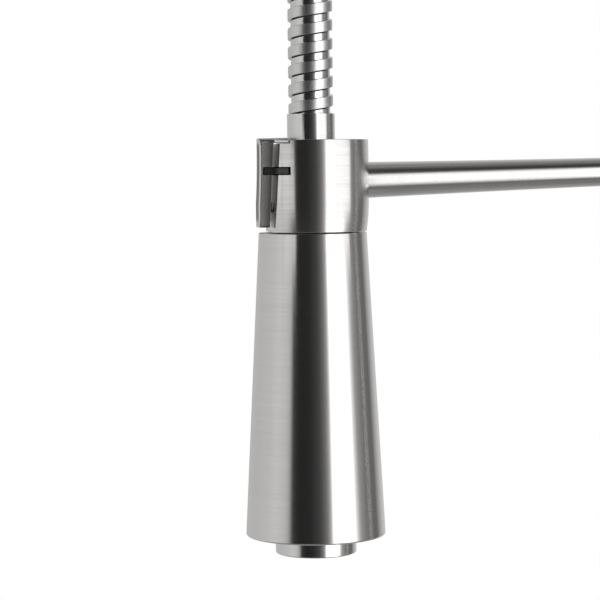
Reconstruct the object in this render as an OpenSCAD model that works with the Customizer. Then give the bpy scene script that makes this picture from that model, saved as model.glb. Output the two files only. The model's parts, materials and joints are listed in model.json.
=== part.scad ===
// Pull-out kitchen faucet: one-hole deck body with a side lever, a swivelling riser, a docking arm,
// a strip-wound metal hose in a free arch and a conical spray head with a thumb latch.
// Millimetres. +Z is up, the deck is z = 0, the riser's axis is the Z axis, the spray head hangs at -X.

/* [Overall] */
// Distance from the riser's axis to the spray head's axis
reach = 210; // [190:1:250]
// Height of the aerator's lower edge above the deck
outlet_h = 212.5; // [205:0.5:240]
// Straight hose above the lower ferrule
hose_leg = 105; // [95:1:150]
// Height of the riser tube above the arm's axis
riser_over_arm = 52; // [40:1:60]

/* [Spray head] */
// Diameter of the conical shell at its top
cone_top_d = 37.2; // [36:0.1:40]
// Diameter of the conical shell at its foot
cone_foot_d = 48.4; // [46:0.1:54]
// Height of the conical shell
cone_h = 104.8; // [98:0.1:115]
// Wall of the conical shell
cone_wall = 1.6; // [1.2:0.1:2.2]
// Thickness of the shell's top
cone_cap_t = 4; // [3:0.5:5]
// Radius of the shell's lower edge
cone_edge = 0.8; // [0.4:0.1:1.2]
// Diameter of the neck
neck_d = 20; // [19:0.1:21]
// Diameter of the neck's lower thread
neck_thread_d = 17; // [16:0.1:17.5]
// Depth of the latch groove in the neck
neck_groove = 0.8; // [0.5:0.1:1]
// Diameter of the swivel stud in the neck
stud_d = 12; // [11:0.1:12.4]
// Outer diameter of the waterway in the shell
tube_d = 16; // [15:0.1:17]
// Wall of the waterway
tube_wall = 2; // [1.5:0.1:2.5]
// Diameter of the aerator ring below the shell
aerator_d = 28; // [27:0.1:30]
// How far the aerator ring hangs below the shell
aerator_drop = 6.2; // [5:0.1:8]
// Diameter of the aerator's thread
aerator_thread_d = 24; // [23:0.1:24.5]

/* [Docking collar] */
// Largest diameter of the collar
collar_d = 38.9; // [38:0.1:42]
// Height of the collar
collar_h = 31.4; // [31:0.1:34]
// How much the collar's radius draws in towards its lower edge
collar_draw = 0.85; // [0.2:0.05:1]
// How much the collar's radius draws in towards its upper edge
collar_top_draw = 0.1; // [0.1:0.05:0.5]
// Dark seam between collar and shell
seam = 0.3; // [0.2:0.05:0.6]
// Depth of the lip that closes the collar round the ferrule
lip_h = 5; // [4:0.1:6]
// Wall of the plastic bush in the collar
bush_wall = 1.3; // [1:0.1:1.5]
// Distance of the flat from the axis at the slot's height
flat_x = 13.6; // [13.2:0.05:14]
// Slant of the flat
flat_slant = 3.1; // [2:0.1:3.4]
// Height of the slot above the collar's lower face
slot_up = 20.9; // [20:0.1:22]
// Height of the slot
slot_h = 2.8; // [2.6:0.1:3.2]
// Inner end of the slot, from the axis
slot_x = 9.9; // [9.6:0.1:10.2]
// Depth of the recess in the collar's top
recess_depth = 1.3; // [1:0.1:2]

/* [Thumb latch] */
// Width of the paddle
paddle_w = 8; // [8:0.1:11]
// Gap between the paddle and the flat
paddle_gap = 0.7; // [0.65:0.05:0.8]
// Height of the paddle's lower end above the collar's lower face
paddle_up = 1.6; // [1:0.1:3]
// How far the paddle stands out beyond the collar's radius
paddle_proud = 0.05; // [0:0.05:0.3]
// How far the paddle and its wing stand above the collar's top
paddle_rise = 0.4; // [0:0.05:0.5]
// Depth of the thumb dish below the collar's radius
dish_depth = 0.8; // [0.3:0.05:0.9]
// Travel of the latch
latch_travel = 0.5; // [0.3:0.05:0.55]
// Thickness of the latch plate
plate_t = 2; // [1.6:0.1:2.2]
// Width of the plate's rim round the neck
plate_rim = 3.2; // [2.5:0.1:3.4]
// Thickness of the wing on the paddle's top
wing_t = 1.4; // [1:0.1:1.5]
// Diameter of the latch pin
latch_pin_d = 1.4; // [1.2:0.1:1.6]
// Outer diameter of the latch spring
spring_d = 4; // [3.4:0.1:4.2]
// Wire of the latch spring
spring_wire = 0.5; // [0.3:0.05:0.5]
// Height of the spring above the collar's lower face
spring_up = 8.5; // [7:0.1:11]

/* [Arm] */
// Diameter of the arm at the collar
arm_root_d = 12.4; // [12:0.1:14]
// Diameter of the arm at the riser
arm_end_d = 8.8; // [8:0.1:10]
// Rise of the arm towards the riser
arm_rise = 1.2; // [0:0.1:3]
// Height of the arm's axis above the collar's lower face
arm_up = 17; // [16:0.1:18]
// Height of the clamp ring on the riser
clamp_h = 20; // [18:0.5:26]
// Wall of the clamp ring
clamp_wall = 5; // [4:0.1:6]
// Diameter of the clamp screw
clamp_screw_d = 5; // [4:0.1:5.5]

/* [Hose] */
// Outer diameter of the strip-wound hose
hose_d = 16; // [15.6:0.1:16.2]
// Depth of its groove
hose_groove = 0.8; // [0.5:0.05:0.9]
// Pitch of its winding
hose_pitch = 6.45; // [6.4:0.05:7.2]
// Share of the pitch that is raised
hose_band = 0.56; // [0.4:0.01:0.6]
// Wall of the hose under its groove
hose_wall = 0.9; // [0.8:0.05:1]
// Outer diameter of the inner water hose
inner_d = 11; // [10.4:0.1:11]
// Bore of the inner water hose
inner_bore = 8; // [7:0.1:8.4]
// Diameter of the ferrules
ferrule_d = 16.4; // [16.2:0.1:16.6]
// Height of the lower ferrule above the collar
ferrule_show = 8.9; // [8:0.1:12]
// Length of the upper ferrule
upper_ferrule_l = 16; // [16:0.5:20]

/* [Riser] */
// Diameter of the riser tube
riser_d = 25; // [24:0.5:27]
// Wall of the riser tube
riser_wall = 1.5; // [1.2:0.1:2]
// Diameter of the swivel spigot
spigot_d = 28; // [27:0.5:29]
// Height of the swivel ring
ring_h = 7; // [5:0.5:10]
// Height of the cone on the hose union
union_h = 8; // [6:0.5:10]

/* [Base] */
// Diameter of the valve body
body_d = 48; // [47:0.5:54]
// Height of the body's top above the deck
body_h = 122; // [120:1:135]
// Diameter of the deck flange
flange_d = 58; // [57:0.5:66]
// Height of the deck flange above the deck
flange_h = 8; // [7:0.5:9]
// Thickness of the seal under the flange
seal_t = 1.5; // [1:0.1:2]
// Diameter of the shank in the deck hole
shank_d = 32; // [31.8:0.1:33]
// Thread below the deck
shank_thread_d = 30.4; // [30:0.1:31]
// Bore of the shank
shank_bore = 25; // [25:0.1:26]
// Depth of the socket in which the riser swivels
socket_depth = 34; // [34:0.5:36]
// Length of the shank below the deck
shank_l = 62; // [58:1:75]
// Thickest deck that the shank clamps as drawn
deck_t = 30; // [25:1:32]
// Diameter of the inlets, before threading
inlet_d = 8.9; // [8.5:0.1:9]
// Depth of the inlets
inlet_depth = 12; // [10:0.5:14]
// Distance of each inlet from the middle
inlet_x = 7.2; // [7:0.1:7.4]

/* [Lever and cartridge] */
// Distance of the lever's axis below the body's top
valve_down = 56; // [55:0.5:58]
// Diameter of the boss for the cartridge
boss_d = 45; // [44:0.5:46]
// Distance of the boss's face from the riser's axis
boss_y = 33; // [33:0.5:36]
// Diameter of the cartridge
cartridge_d = 35; // [34:0.1:35.2]
// Radius of the ball-shaped dome
dome_r = 20; // [19.5:0.1:20.4]
// Distance of the tilting pin from the boss's face
pivot_out = 1.5; // [1.3:0.1:2]
// Tilt of the lever when fully open
lift_angle = 22; // [18:1:22]
// Diameter of the hub
hub_d = 44; // [43:0.5:46]
// Distance of the hub's front from the boss's face
hub_front = 33.5; // [32:0.5:36]
// Diameter of the lever at the hub
lever_root_d = 9; // [8:0.1:10]
// Diameter of the lever at its tip
lever_tip_d = 6.6; // [6:0.1:8]
// Length of the lever outside the hub
lever_l = 85; // [70:1:110]
// Diameter of the lever's stem
stem_d = 6.2; // [6:0.1:6.4]
// Diameter of the tilting pin
pivot_d = 3; // [2.6:0.1:3]

/* [Fits] */
// Running clearance of turning shafts, on the radius
run_gap = 0.05; // [0.02:0.01:0.08]
// Sliding clearance of the neck in its bush, on the radius
slide_gap = 0.08; // [0.05:0.01:0.1]
// Clearance round parts that must not touch
free_gap = 0.3; // [0.2:0.05:0.4]

/* [Hidden] */

$fn = 72;
steel = "#b9b8b6";
bright_steel = "#cfcecb";
brass = "#b8964a";
black_plastic = "#26272a";
grey_plastic = "#8d9094";
white_plastic = "#e6e6e2";
rubber = "#2b2b2d";
ceramic = "#efe9dc";

// Cutters reach this far past what they cut
past = 1;
// Side of the block that stands for everything beyond the flat
block = 60;
chamfer = 0.4;

// Heights of the spray head, the collar and the hose
cone_top_r = cone_top_d / 2;
cone_foot_r = cone_foot_d / 2;
z_foot = outlet_h + aerator_drop;
z_seam = z_foot + cone_h;
z_collar = z_seam + seam;
z_collar_top = z_collar + collar_h;
z_arm = z_collar + arm_up;
z_slot = z_collar + slot_up;
z_neck_top = z_collar_top - lip_h - 0.8;
flange_t = 1.5;
z_tail = z_neck_top + 0.15;
z_ferrule = z_tail + flange_t;
z_ferrule_top = z_collar_top + ferrule_show;
arch_r = reach / 2;
arch_z = z_ferrule_top + hose_leg;

// Collar
collar_r = collar_d / 2;
belly_h = 11;
brow_h = 5.5;
neck_r = neck_d / 2;
bush_bore_r = neck_r + slide_gap;
bush_r = bush_bore_r + bush_wall;
z_bush_top = z_slot - slot_h / 2 - 1.2;
dock_r = neck_r + free_gap;
lip_r = ferrule_d / 2 + free_gap;
pocket_gap = 0.3;
plate_hole_r = neck_r + 0.15;
plate_r = plate_hole_r + plate_rim;
pocket_r = plate_r + pocket_gap;

// Latch
shoulder_x = slot_x + latch_travel + 0.1;
shoulder_inset = 0.75;
notch_x = 17.6;
tongue_x = 17.1;
tongue_w = paddle_w - 2;
latch_pin_x = 16;
latch_pin_l = 8;
wing_inset = 0.35;
dish_r = 300;
dish_up = 0.86;
spring_bore_r = spring_d / 2 + free_gap;
spring_in_x = bush_r + 0.8;
spring_out_x = 17.2;
z_spring = z_collar + spring_up;
spring_turns = 4;
spring_sides = 6;
spring_steps = 8;

// Neck, stud and waterway
stud_r = stud_d / 2;
socket_r = stud_r + run_gap;
neck_thread_r = neck_thread_d / 2;
z_stud = z_seam + 9;
z_socket = z_stud - 0.5;
neck_down = 22;
neck_bore_r = 4;
clip_down = 4.5;
clip_t = 1;
clip_r = stud_r + 0.7;
clip_groove_r = stud_r - 0.8;
tail_bore_r = 2.8;
barb_r = inner_bore / 2 - 0.05;
barb_l = 12;
ring_wire = 0.9;
tail_ring_up = [3.5, 8];
cone_nut_t = 4;
tube_r = tube_d / 2;
tube_bore_r = tube_r - tube_wall;
coupling_r = neck_thread_r + 2.5;
z_neck_foot = z_seam - neck_down;
z_coupling = z_neck_foot - 2;
z_coupling_top = z_seam - cone_cap_t - cone_nut_t - 1;
valve_l = 15;
z_valve = z_coupling - 26;
plug_foot = 0.8;
plug_h = 9.5;
z_plug = z_foot + plug_foot;
z_plug_top = z_plug + plug_h;
hub_tube_h = 14;
aerator_r = aerator_d / 2;
aerator_thread_r = aerator_thread_d / 2;
aerator_thread_l = 7.5;
aerator_groove = 0.7;
aerator_bore_r = aerator_thread_r - 1.4;
washer_t = 1.4;

// Arm and riser
arm_total = reach / cos(arm_rise);
z_clamp = z_arm + reach * tan(arm_rise);
arm_end_r = arm_end_d / 2;
arm_root_r = arm_root_d / 2;
clamp_hub_r = arm_end_r + 3.4;
clamp_hub_l = 14;
arm_socket = 9;
riser_r = riser_d / 2;
riser_bore_r = riser_r - riser_wall;
clamp_r = riser_r + clamp_wall;
clamp_split = 2;
clamp_ear = 8;
clamp_ear_w = 7;
clamp_ear_h = 14;
spigot_r = spigot_d / 2;
spigot_bore_r = 8;
z_socket_floor = body_h - socket_depth;
z_ring = body_h + free_gap;
z_riser = z_ring + ring_h;
z_riser_top = z_clamp + riser_over_arm;
z_upper_ferrule = z_riser_top + union_h;
spigot_neck_l = 22;
union_plug_l = 14;
z_lock = body_h - 8;
lock_r = 2.5;
lock_groove = 2;
lock_groove_h = 4;
spigot_ring_up = [4, 11];
spigot_ring_groove = [2.5, 2.7];
spigot_ring_wire = 1.25;
spigot_bush_up = [18, 30];
spigot_bush = [1.5, 2.4];
ring_edge = 1.6;
union_groove = [2, 2.2];
union_groove_down = 8;

// Hose
hose_r = hose_d / 2;
cuff_r = hose_r - hose_groove;
hose_bore_r = cuff_r - hose_wall;
ferrule_r = ferrule_d / 2;
ferrule_bore_r = cuff_r + 0.05;
hose_sides = 8;
hose_rows = 4;
bore_steps = 24;
z_hose_start = z_upper_ferrule + 0.2;
z_rib_start = z_upper_ferrule + upper_ferrule_l;
leg_up = arch_z - z_hose_start;
arch_len = PI * arch_r;
leg_down = arch_z - z_ferrule - 0.2;
hose_len = leg_up + arch_len + leg_down;
rib_start = z_rib_start - z_hose_start;
rib_end = hose_len - (z_ferrule_top - z_ferrule - 0.2);
rib_turns = round((rib_end - rib_start) / hose_pitch) - 1;
rib_pitch = (rib_end - rib_start) / (rib_turns + 1);

// Base
body_r = body_d / 2;
valve_z = body_h - valve_down;
shank_r = shank_d / 2;
shank_top_r = 14.5;
shank_in_body = 12;
inlet_y = 3;
z_inlet = flange_h + shank_in_body;
nut_t = 12;
nut_r = 27;
nut_screw_r = 2.5;
nut_screw_pcr = 22;
gasket_t = 3;
clamp_washer_t = 2.5;
clamp_bore_r = shank_r + 0.5;
flange_gap = 0.5;
seal_inner_r = 18;
seal_outer_r = 25;
waterway_r = 3;

// Cartridge and lever, along the lever's axis from the riser's axis outwards
boss_r = boss_d / 2;
cartridge_r = cartridge_d / 2;
bore_floor = 2;
seat_t = 1;
housing_in = bore_floor + seat_t;
disc_in = 10;
disc_t = 4;
shoulder_in = boss_y - 6;
cavity_r = cartridge_r - 3.5;
guide_r = cartridge_r - 5;
collar_in = 25;
pivot_in = boss_y + pivot_out;
stem_reach = 14;
stem_neck = 0.8;
stem_step = 6;
ball_in = pivot_in - stem_reach;
disc_offset = 2.6;
mover_r = 9.5;
carrier_r = 10;
carrier_in = disc_in + 2 * disc_t + 2 * run_gap;
carrier_t = 4.6;
ball_r = 2.4;
ball_gap = 0.2;
guide_in = ball_in + 3.8;
guide_out = pivot_in + 3.5;
guide_slot = [
    stem_d + 0.8,
    stem_d / cos(lift_angle) + 2 * (stem_reach - stem_step) * tan(lift_angle) + 2.8
];
port_down = 5;
port_up = 8;
dome_wall = 1.5;
dome_hole_r = 11;
hub_r = hub_d / 2;
hub_gap = 0.6;
hub_set = 10;
hub_back = pivot_in + hub_set;
hub_out = boss_y + hub_front;
rod_in = hub_out - 6;
stem_out = hub_out - 2;
rod_thread_r = 3.5;
hub_screw_r = 2;
hub_screw_l = 12;
hub_plug_r = 2.7;

function ease(t) = pow(max(0, t), 2);

// Radius of the collar at a height above its lower face
function collar_at(h) = collar_r - collar_draw * ease(1 - h / belly_h)
    - collar_top_draw * ease((h - collar_h + brow_h) / brow_h);

// Radius of the shell at a height above its foot
function cone_at(h) = cone_foot_r + (cone_top_r - cone_foot_r) * h / cone_h;

// Radius of the arm at a distance from the spray head's axis
function arm_at(d) = arm_end_r
    + (arm_root_r - arm_end_r) * ease(1 - (d - collar_r) / (arm_total - collar_r));

// Place and turn of the hose's centre line: x, z and the angle round the arch
function hose_at(s) =
    s < leg_up ? [0, z_hose_start + s, 0]
    : s < leg_up + arch_len
        ? let (a = (s - leg_up) / arch_r * 180 / PI)
            [arch_r * (cos(a) - 1), arch_z + arch_r * sin(a), a]
    : [-reach, arch_z - (s - leg_up - arch_len), 180];

function hose_point(s, r, turn) =
    let (c = hose_at(s))
    [c[0] + r * cos(turn) * cos(c[2]), r * sin(turn), c[1] + r * cos(turn) * sin(c[2])];

// The winding's four corners within one pitch
rib_at = [0, hose_band - 0.02, hose_band + 0.03, 0.95];
rib_last = rib_turns * hose_rows;
function rib_radius(k) =
    (k < hose_rows || k > rib_last - hose_rows) ? cuff_r : (k % hose_rows < 2 ? hose_r : cuff_r);
function rib_place(k, j) =
    rib_start + rib_pitch * (floor(k / hose_rows) + rib_at[k % hose_rows] + j / hose_sides);

module ring(r_out, r_in, h) {
    difference() {
        cylinder(r = r_out, h = h);
        translate([0, 0, -past]) cylinder(r = r_in, h = h + 2 * past);
    }
}

module o_ring(r_out, wire) {
    rotate_extrude() translate([r_out - wire, 0]) circle(r = wire, $fn = 24);
}

// A disc or rod with a chamfered upper edge
module turned(r, h, edge) {
    rotate_extrude() polygon([[0, 0], [r, 0], [r, h - edge], [r - edge, h], [0, h]]);
}

module at_spray() {
    translate([-reach, 0, 0]) children();
}

// Points +Z along the arm, from the spray head's axis
module along_arm() {
    translate([-reach, 0, z_arm]) rotate([0, 90 - arm_rise, 0]) children();
}

// Points +Z outwards along the lever's axis and +Y up
module on_valve() {
    translate([0, 0, valve_z]) rotate([90, 0, 0]) children();
}

module at_ports() {
    for (side = [-1, 1]) translate([side * inlet_x, -port_down, 0]) children();
    translate([0, port_up, 0]) children();
}

// Base
module deck_flange() {
    color(steel) difference() {
        translate([0, 0, flange_gap]) rotate_extrude() polygon([
            [shank_top_r + 0.1, 0], [flange_d / 2 - chamfer, 0], [flange_d / 2, chamfer],
            [flange_d / 2, 2.5], [flange_d / 2 - 1.2, 4.2], [body_r + 1.4, flange_h - flange_gap],
            [shank_top_r + 0.1, flange_h - flange_gap]
        ]);
        ring(seal_outer_r, seal_inner_r, seal_t);
    }
}

module flange_seal() {
    color(rubber) ring(seal_outer_r, seal_inner_r, seal_t);
}

module mounting_shank() {
    color(brass) difference() {
        union() {
            translate([0, 0, -shank_l]) cylinder(d = shank_thread_d, h = shank_l - deck_t);
            translate([0, 0, -deck_t]) cylinder(r = shank_r, h = deck_t);
            cylinder(r = shank_top_r, h = z_inlet);
        }
        translate([0, 0, -shank_l - past]) cylinder(d = shank_bore, h = shank_l + z_inlet + 2 * past);
    }
}

module clamp_gasket() {
    color(rubber) translate([0, 0, -deck_t - gasket_t]) ring(nut_r, clamp_bore_r, gasket_t);
}

module clamp_washer() {
    color(steel) translate([0, 0, -deck_t - gasket_t - clamp_washer_t])
        ring(nut_r + 1, clamp_bore_r, clamp_washer_t);
}

module at_nut() {
    translate([0, 0, -deck_t - gasket_t - clamp_washer_t - nut_t]) children();
}

module mounting_nut() {
    color(brass) at_nut() difference() {
        turned(nut_r, nut_t, 1);
        translate([0, 0, -past]) cylinder(d = shank_thread_d, h = nut_t + 2 * past);
        for (a = [0, 120, 240]) rotate(a) translate([nut_screw_pcr, 0, -past])
            cylinder(r = nut_screw_r, h = nut_t + 2 * past);
        for (a = [60, 180, 300]) rotate(a) translate([nut_r, 0, -past]) cylinder(r = 5, h = nut_t + 2 * past);
    }
}

module nut_screws() {
    color(steel) at_nut() for (a = [0, 120, 240]) rotate(a) translate([nut_screw_pcr, 0, -4]) {
        cylinder(r = nut_screw_r, h = nut_t + 4);
        translate([0, 0, -3.5]) cylinder(r = 4.4, h = 3.5, $fn = 6);
    }
}

module valve_body() {
    color(steel) difference() {
        union() {
            translate([0, 0, flange_h]) turned(body_r, body_h - flange_h, chamfer);
            on_valve() turned(boss_r, boss_y, chamfer);
        }
        translate([0, 0, flange_h - past]) cylinder(r = shank_top_r, h = shank_in_body + past);
        for (side = [-1, 1]) translate([side * inlet_x, inlet_y, 0]) {
            translate([0, 0, z_inlet - past]) cylinder(d = inlet_d, h = inlet_depth + past);
            translate([0, 0, z_inlet]) cylinder(r = waterway_r, h = valve_z - port_down - z_inlet);
            translate([0, 0, valve_z - port_down]) sphere(r = waterway_r);
            translate([0, 0, valve_z - port_down]) rotate([90, 0, 0])
                cylinder(r = waterway_r, h = inlet_y + bore_floor + past);
        }
        translate([0, 2 * inlet_y, valve_z + port_up]) {
            rotate([90, 0, 0]) cylinder(r = waterway_r, h = 2 * inlet_y + bore_floor + past);
            cylinder(r = waterway_r, h = z_socket_floor - valve_z - port_up + past);
        }
        on_valve() {
            translate([0, 0, bore_floor]) cylinder(r = cartridge_r + 0.1, h = boss_y);
            translate([0, 0, shoulder_in]) cylinder(r = cartridge_r + 1.1, h = boss_y);
        }
        translate([0, 0, z_socket_floor]) cylinder(r = spigot_r + run_gap, h = body_h);
        translate([0, body_r + past, z_lock]) rotate([90, 0, 0]) cylinder(r = lock_r, h = body_r);
    }
}

module cartridge_seals() {
    color(rubber) on_valve() translate([0, 0, bore_floor]) at_ports()
        ring(waterway_r + 1.6, waterway_r + 0.3, seat_t);
}

module cartridge_housing() {
    color(white_plastic) on_valve() difference() {
        union() {
            translate([0, 0, housing_in]) cylinder(r = cartridge_r, h = shoulder_in - housing_in);
            translate([0, 0, shoulder_in]) cylinder(r = cartridge_r - 1.6, h = boss_y - shoulder_in);
        }
        translate([0, 0, disc_in]) cylinder(r = cavity_r, h = collar_in - disc_in);
        translate([0, 0, collar_in - past]) cylinder(r = guide_r + run_gap, h = boss_y);
        at_ports() cylinder(r = waterway_r, h = disc_in + past);
    }
}

module fixed_disc() {
    color(ceramic) on_valve() translate([0, 0, disc_in]) difference() {
        cylinder(r = cavity_r, h = disc_t);
        at_ports() translate([0, 0, -past]) cylinder(r = waterway_r - 0.4, h = disc_t + 2 * past);
    }
}

module cartridge_nut() {
    color(brass) on_valve() translate([0, 0, shoulder_in])
        ring(cartridge_r + 1.1, cartridge_r - 1.6, boss_y - shoulder_in);
}

module dome_cap() {
    color(bright_steel) on_valve() difference() {
        translate([0, 0, pivot_in]) sphere(r = dome_r);
        translate([0, 0, pivot_in]) sphere(r = dome_r - dome_wall);
        translate([0, 0, pivot_in]) cylinder(r = dome_hole_r, h = 2 * dome_r);
        translate([0, 0, boss_y - 2 * dome_r]) cylinder(r = 2 * dome_r, h = 2 * dome_r);
    }
}

module riser_lock_screw() {
    color(steel) translate([0, body_r - 0.5, z_lock]) rotate([90, 0, 0]) {
        cylinder(r = lock_r, h = body_r - 0.5 - spigot_r - 0.6);
        cylinder(r = lock_r - 1, h = body_r - 0.5 - spigot_r + lock_groove - 0.4);
    }
}

// Mixing parts
module cartridge_guide() {
    color(grey_plastic) on_valve() difference() {
        translate([0, 0, guide_in]) cylinder(r = guide_r, h = guide_out - guide_in);
        translate([-guide_slot[0] / 2, -guide_slot[1] / 2, guide_in - past])
            cube([guide_slot[0], guide_slot[1], guide_out]);
        translate([-guide_r - past, 0, pivot_in]) rotate([0, 90, 0])
            cylinder(d = pivot_d, h = 2 * guide_r + 2 * past);
    }
}

module pivot_pin() {
    color(steel) on_valve() translate([-guide_r + 0.5, 0, pivot_in]) rotate([0, 90, 0])
        cylinder(d = pivot_d, h = 2 * guide_r - 1);
}

module moving_disc() {
    color(ceramic) on_valve() translate([0, -disc_offset, disc_in + disc_t + run_gap]) difference() {
        cylinder(r = mover_r, h = disc_t);
        translate([0, 0, -past]) cylinder(r = mover_r - 4, h = disc_t / 2 + past);
    }
}

module disc_carrier() {
    color(grey_plastic) on_valve() difference() {
        translate([0, -disc_offset, carrier_in - run_gap]) cylinder(r = carrier_r, h = carrier_t);
        translate([0, 0, carrier_in - past]) cylinder(r = ball_r + ball_gap, h = carrier_t + 2 * past);
    }
}

module lever_stem() {
    color(steel) on_valve() difference() {
        union() {
            translate([0, 0, ball_in]) sphere(r = ball_r);
            translate([0, 0, ball_in]) cylinder(r = ball_r - stem_neck, h = stem_step + 2);
            translate([0, 0, ball_in + stem_step]) cylinder(d = stem_d, h = stem_out - ball_in - stem_step);
        }
        translate([-stem_d, 0, pivot_in]) rotate([0, 90, 0])
            cylinder(r = pivot_d / 2 + run_gap, h = 2 * stem_d);
    }
}

module lever_hub() {
    color(bright_steel) on_valve() difference() {
        translate([0, 0, hub_back]) turned(hub_r, hub_out - hub_back, 1.2);
        translate([0, 0, pivot_in]) sphere(r = dome_r + hub_gap);
        translate([0, 0, pivot_in]) cylinder(d = stem_d, h = stem_out - pivot_in);
        translate([0, 0, rod_in]) rotate([-90, 0, 0]) translate([0, 0, hub_r - 8])
            cylinder(r = rod_thread_r, h = hub_r);
        translate([0, 0, rod_in]) rotate([90, 0, 0]) {
            cylinder(r = hub_screw_r, h = hub_r + past);
            translate([0, 0, hub_r - 3]) cylinder(r = hub_plug_r, h = 3 + past);
        }
    }
}

module lever_rod() {
    color(bright_steel) on_valve() translate([0, 0, rod_in]) rotate([-90, 0, 0]) rotate_extrude() polygon(concat(
        [[0, hub_r - 8], [rod_thread_r, hub_r - 8], [rod_thread_r, hub_r + 0.05],
            [lever_root_d / 2, hub_r + 0.05]],
        [for (a = [0:15:90])
            [lever_tip_d / 2 * cos(a), hub_r + lever_l - lever_tip_d / 2 + lever_tip_d / 2 * sin(a)]]
    ));
}

module hub_screw() {
    color(steel) on_valve() translate([0, 0, rod_in]) rotate([90, 0, 0]) translate([0, 0, stem_d / 2])
        cylinder(r = hub_screw_r, h = hub_screw_l);
}

module hub_plug() {
    color(bright_steel) on_valve() translate([0, 0, rod_in]) rotate([90, 0, 0])
        translate([0, 0, hub_r - 3]) cylinder(r = hub_plug_r, h = 2.7);
}

// Riser
module swivel_spigot() {
    color(steel) difference() {
        union() {
            translate([0, 0, z_socket_floor + 1]) cylinder(r = spigot_r, h = z_ring - z_socket_floor - 1);
            translate([0, 0, z_ring]) turned(body_r, ring_h, ring_edge);
            translate([0, 0, z_ring]) cylinder(r = riser_bore_r, h = ring_h + spigot_neck_l);
        }
        translate([0, 0, z_socket_floor]) cylinder(r = spigot_bore_r, h = body_h);
        for (up = spigot_ring_up) translate([0, 0, z_socket_floor + up])
            ring(spigot_r + past, spigot_r - spigot_ring_groove[0], spigot_ring_groove[1]);
        for (up = spigot_bush_up) translate([0, 0, z_socket_floor + up])
            ring(spigot_r + past, spigot_r - spigot_bush[0], spigot_bush[1]);
        translate([0, 0, z_lock - lock_groove_h / 2])
            ring(spigot_r + past, spigot_r - lock_groove, lock_groove_h);
    }
}

module spigot_rings() {
    color(rubber) for (up = spigot_ring_up) translate([0, 0, z_socket_floor + up + spigot_ring_groove[1] / 2])
        o_ring(spigot_r + run_gap / 2, spigot_ring_wire);
}

module spigot_bushes() {
    color(black_plastic) for (up = spigot_bush_up) translate([0, 0, z_socket_floor + up])
        ring(spigot_r + run_gap / 2, spigot_r - spigot_bush[0], spigot_bush[1]);
}

module riser_tube() {
    color(steel) translate([0, 0, z_riser]) ring(riser_r, riser_bore_r, z_riser_top - z_riser);
}

module hose_union() {
    color(steel) difference() {
        union() {
            translate([0, 0, z_riser_top - union_plug_l]) cylinder(r = riser_bore_r, h = union_plug_l);
            translate([0, 0, z_riser_top]) rotate_extrude() polygon([
                [0, 0], [riser_r, 0], [riser_r, 1.5], [ferrule_r + 0.4, union_h - 0.8],
                [ferrule_r + 0.4, union_h], [0, union_h]
            ]);
            translate([0, 0, z_upper_ferrule]) cylinder(r = barb_r, h = barb_l);
        }
        translate([0, 0, z_riser_top - union_plug_l - past])
            cylinder(r = tail_bore_r, h = union_plug_l + union_h + barb_l + 2 * past);
        translate([0, 0, z_riser_top - union_groove_down])
            ring(riser_bore_r + past, riser_bore_r - union_groove[0], union_groove[1]);
    }
}

module union_ring() {
    color(rubber) translate([0, 0, z_riser_top - union_groove_down + union_groove[1] / 2])
        o_ring(riser_bore_r, union_groove[0] / 2);
}

module upper_ferrule() {
    color(bright_steel) translate([0, 0, z_upper_ferrule]) ring(ferrule_r, ferrule_bore_r, upper_ferrule_l);
}

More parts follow.
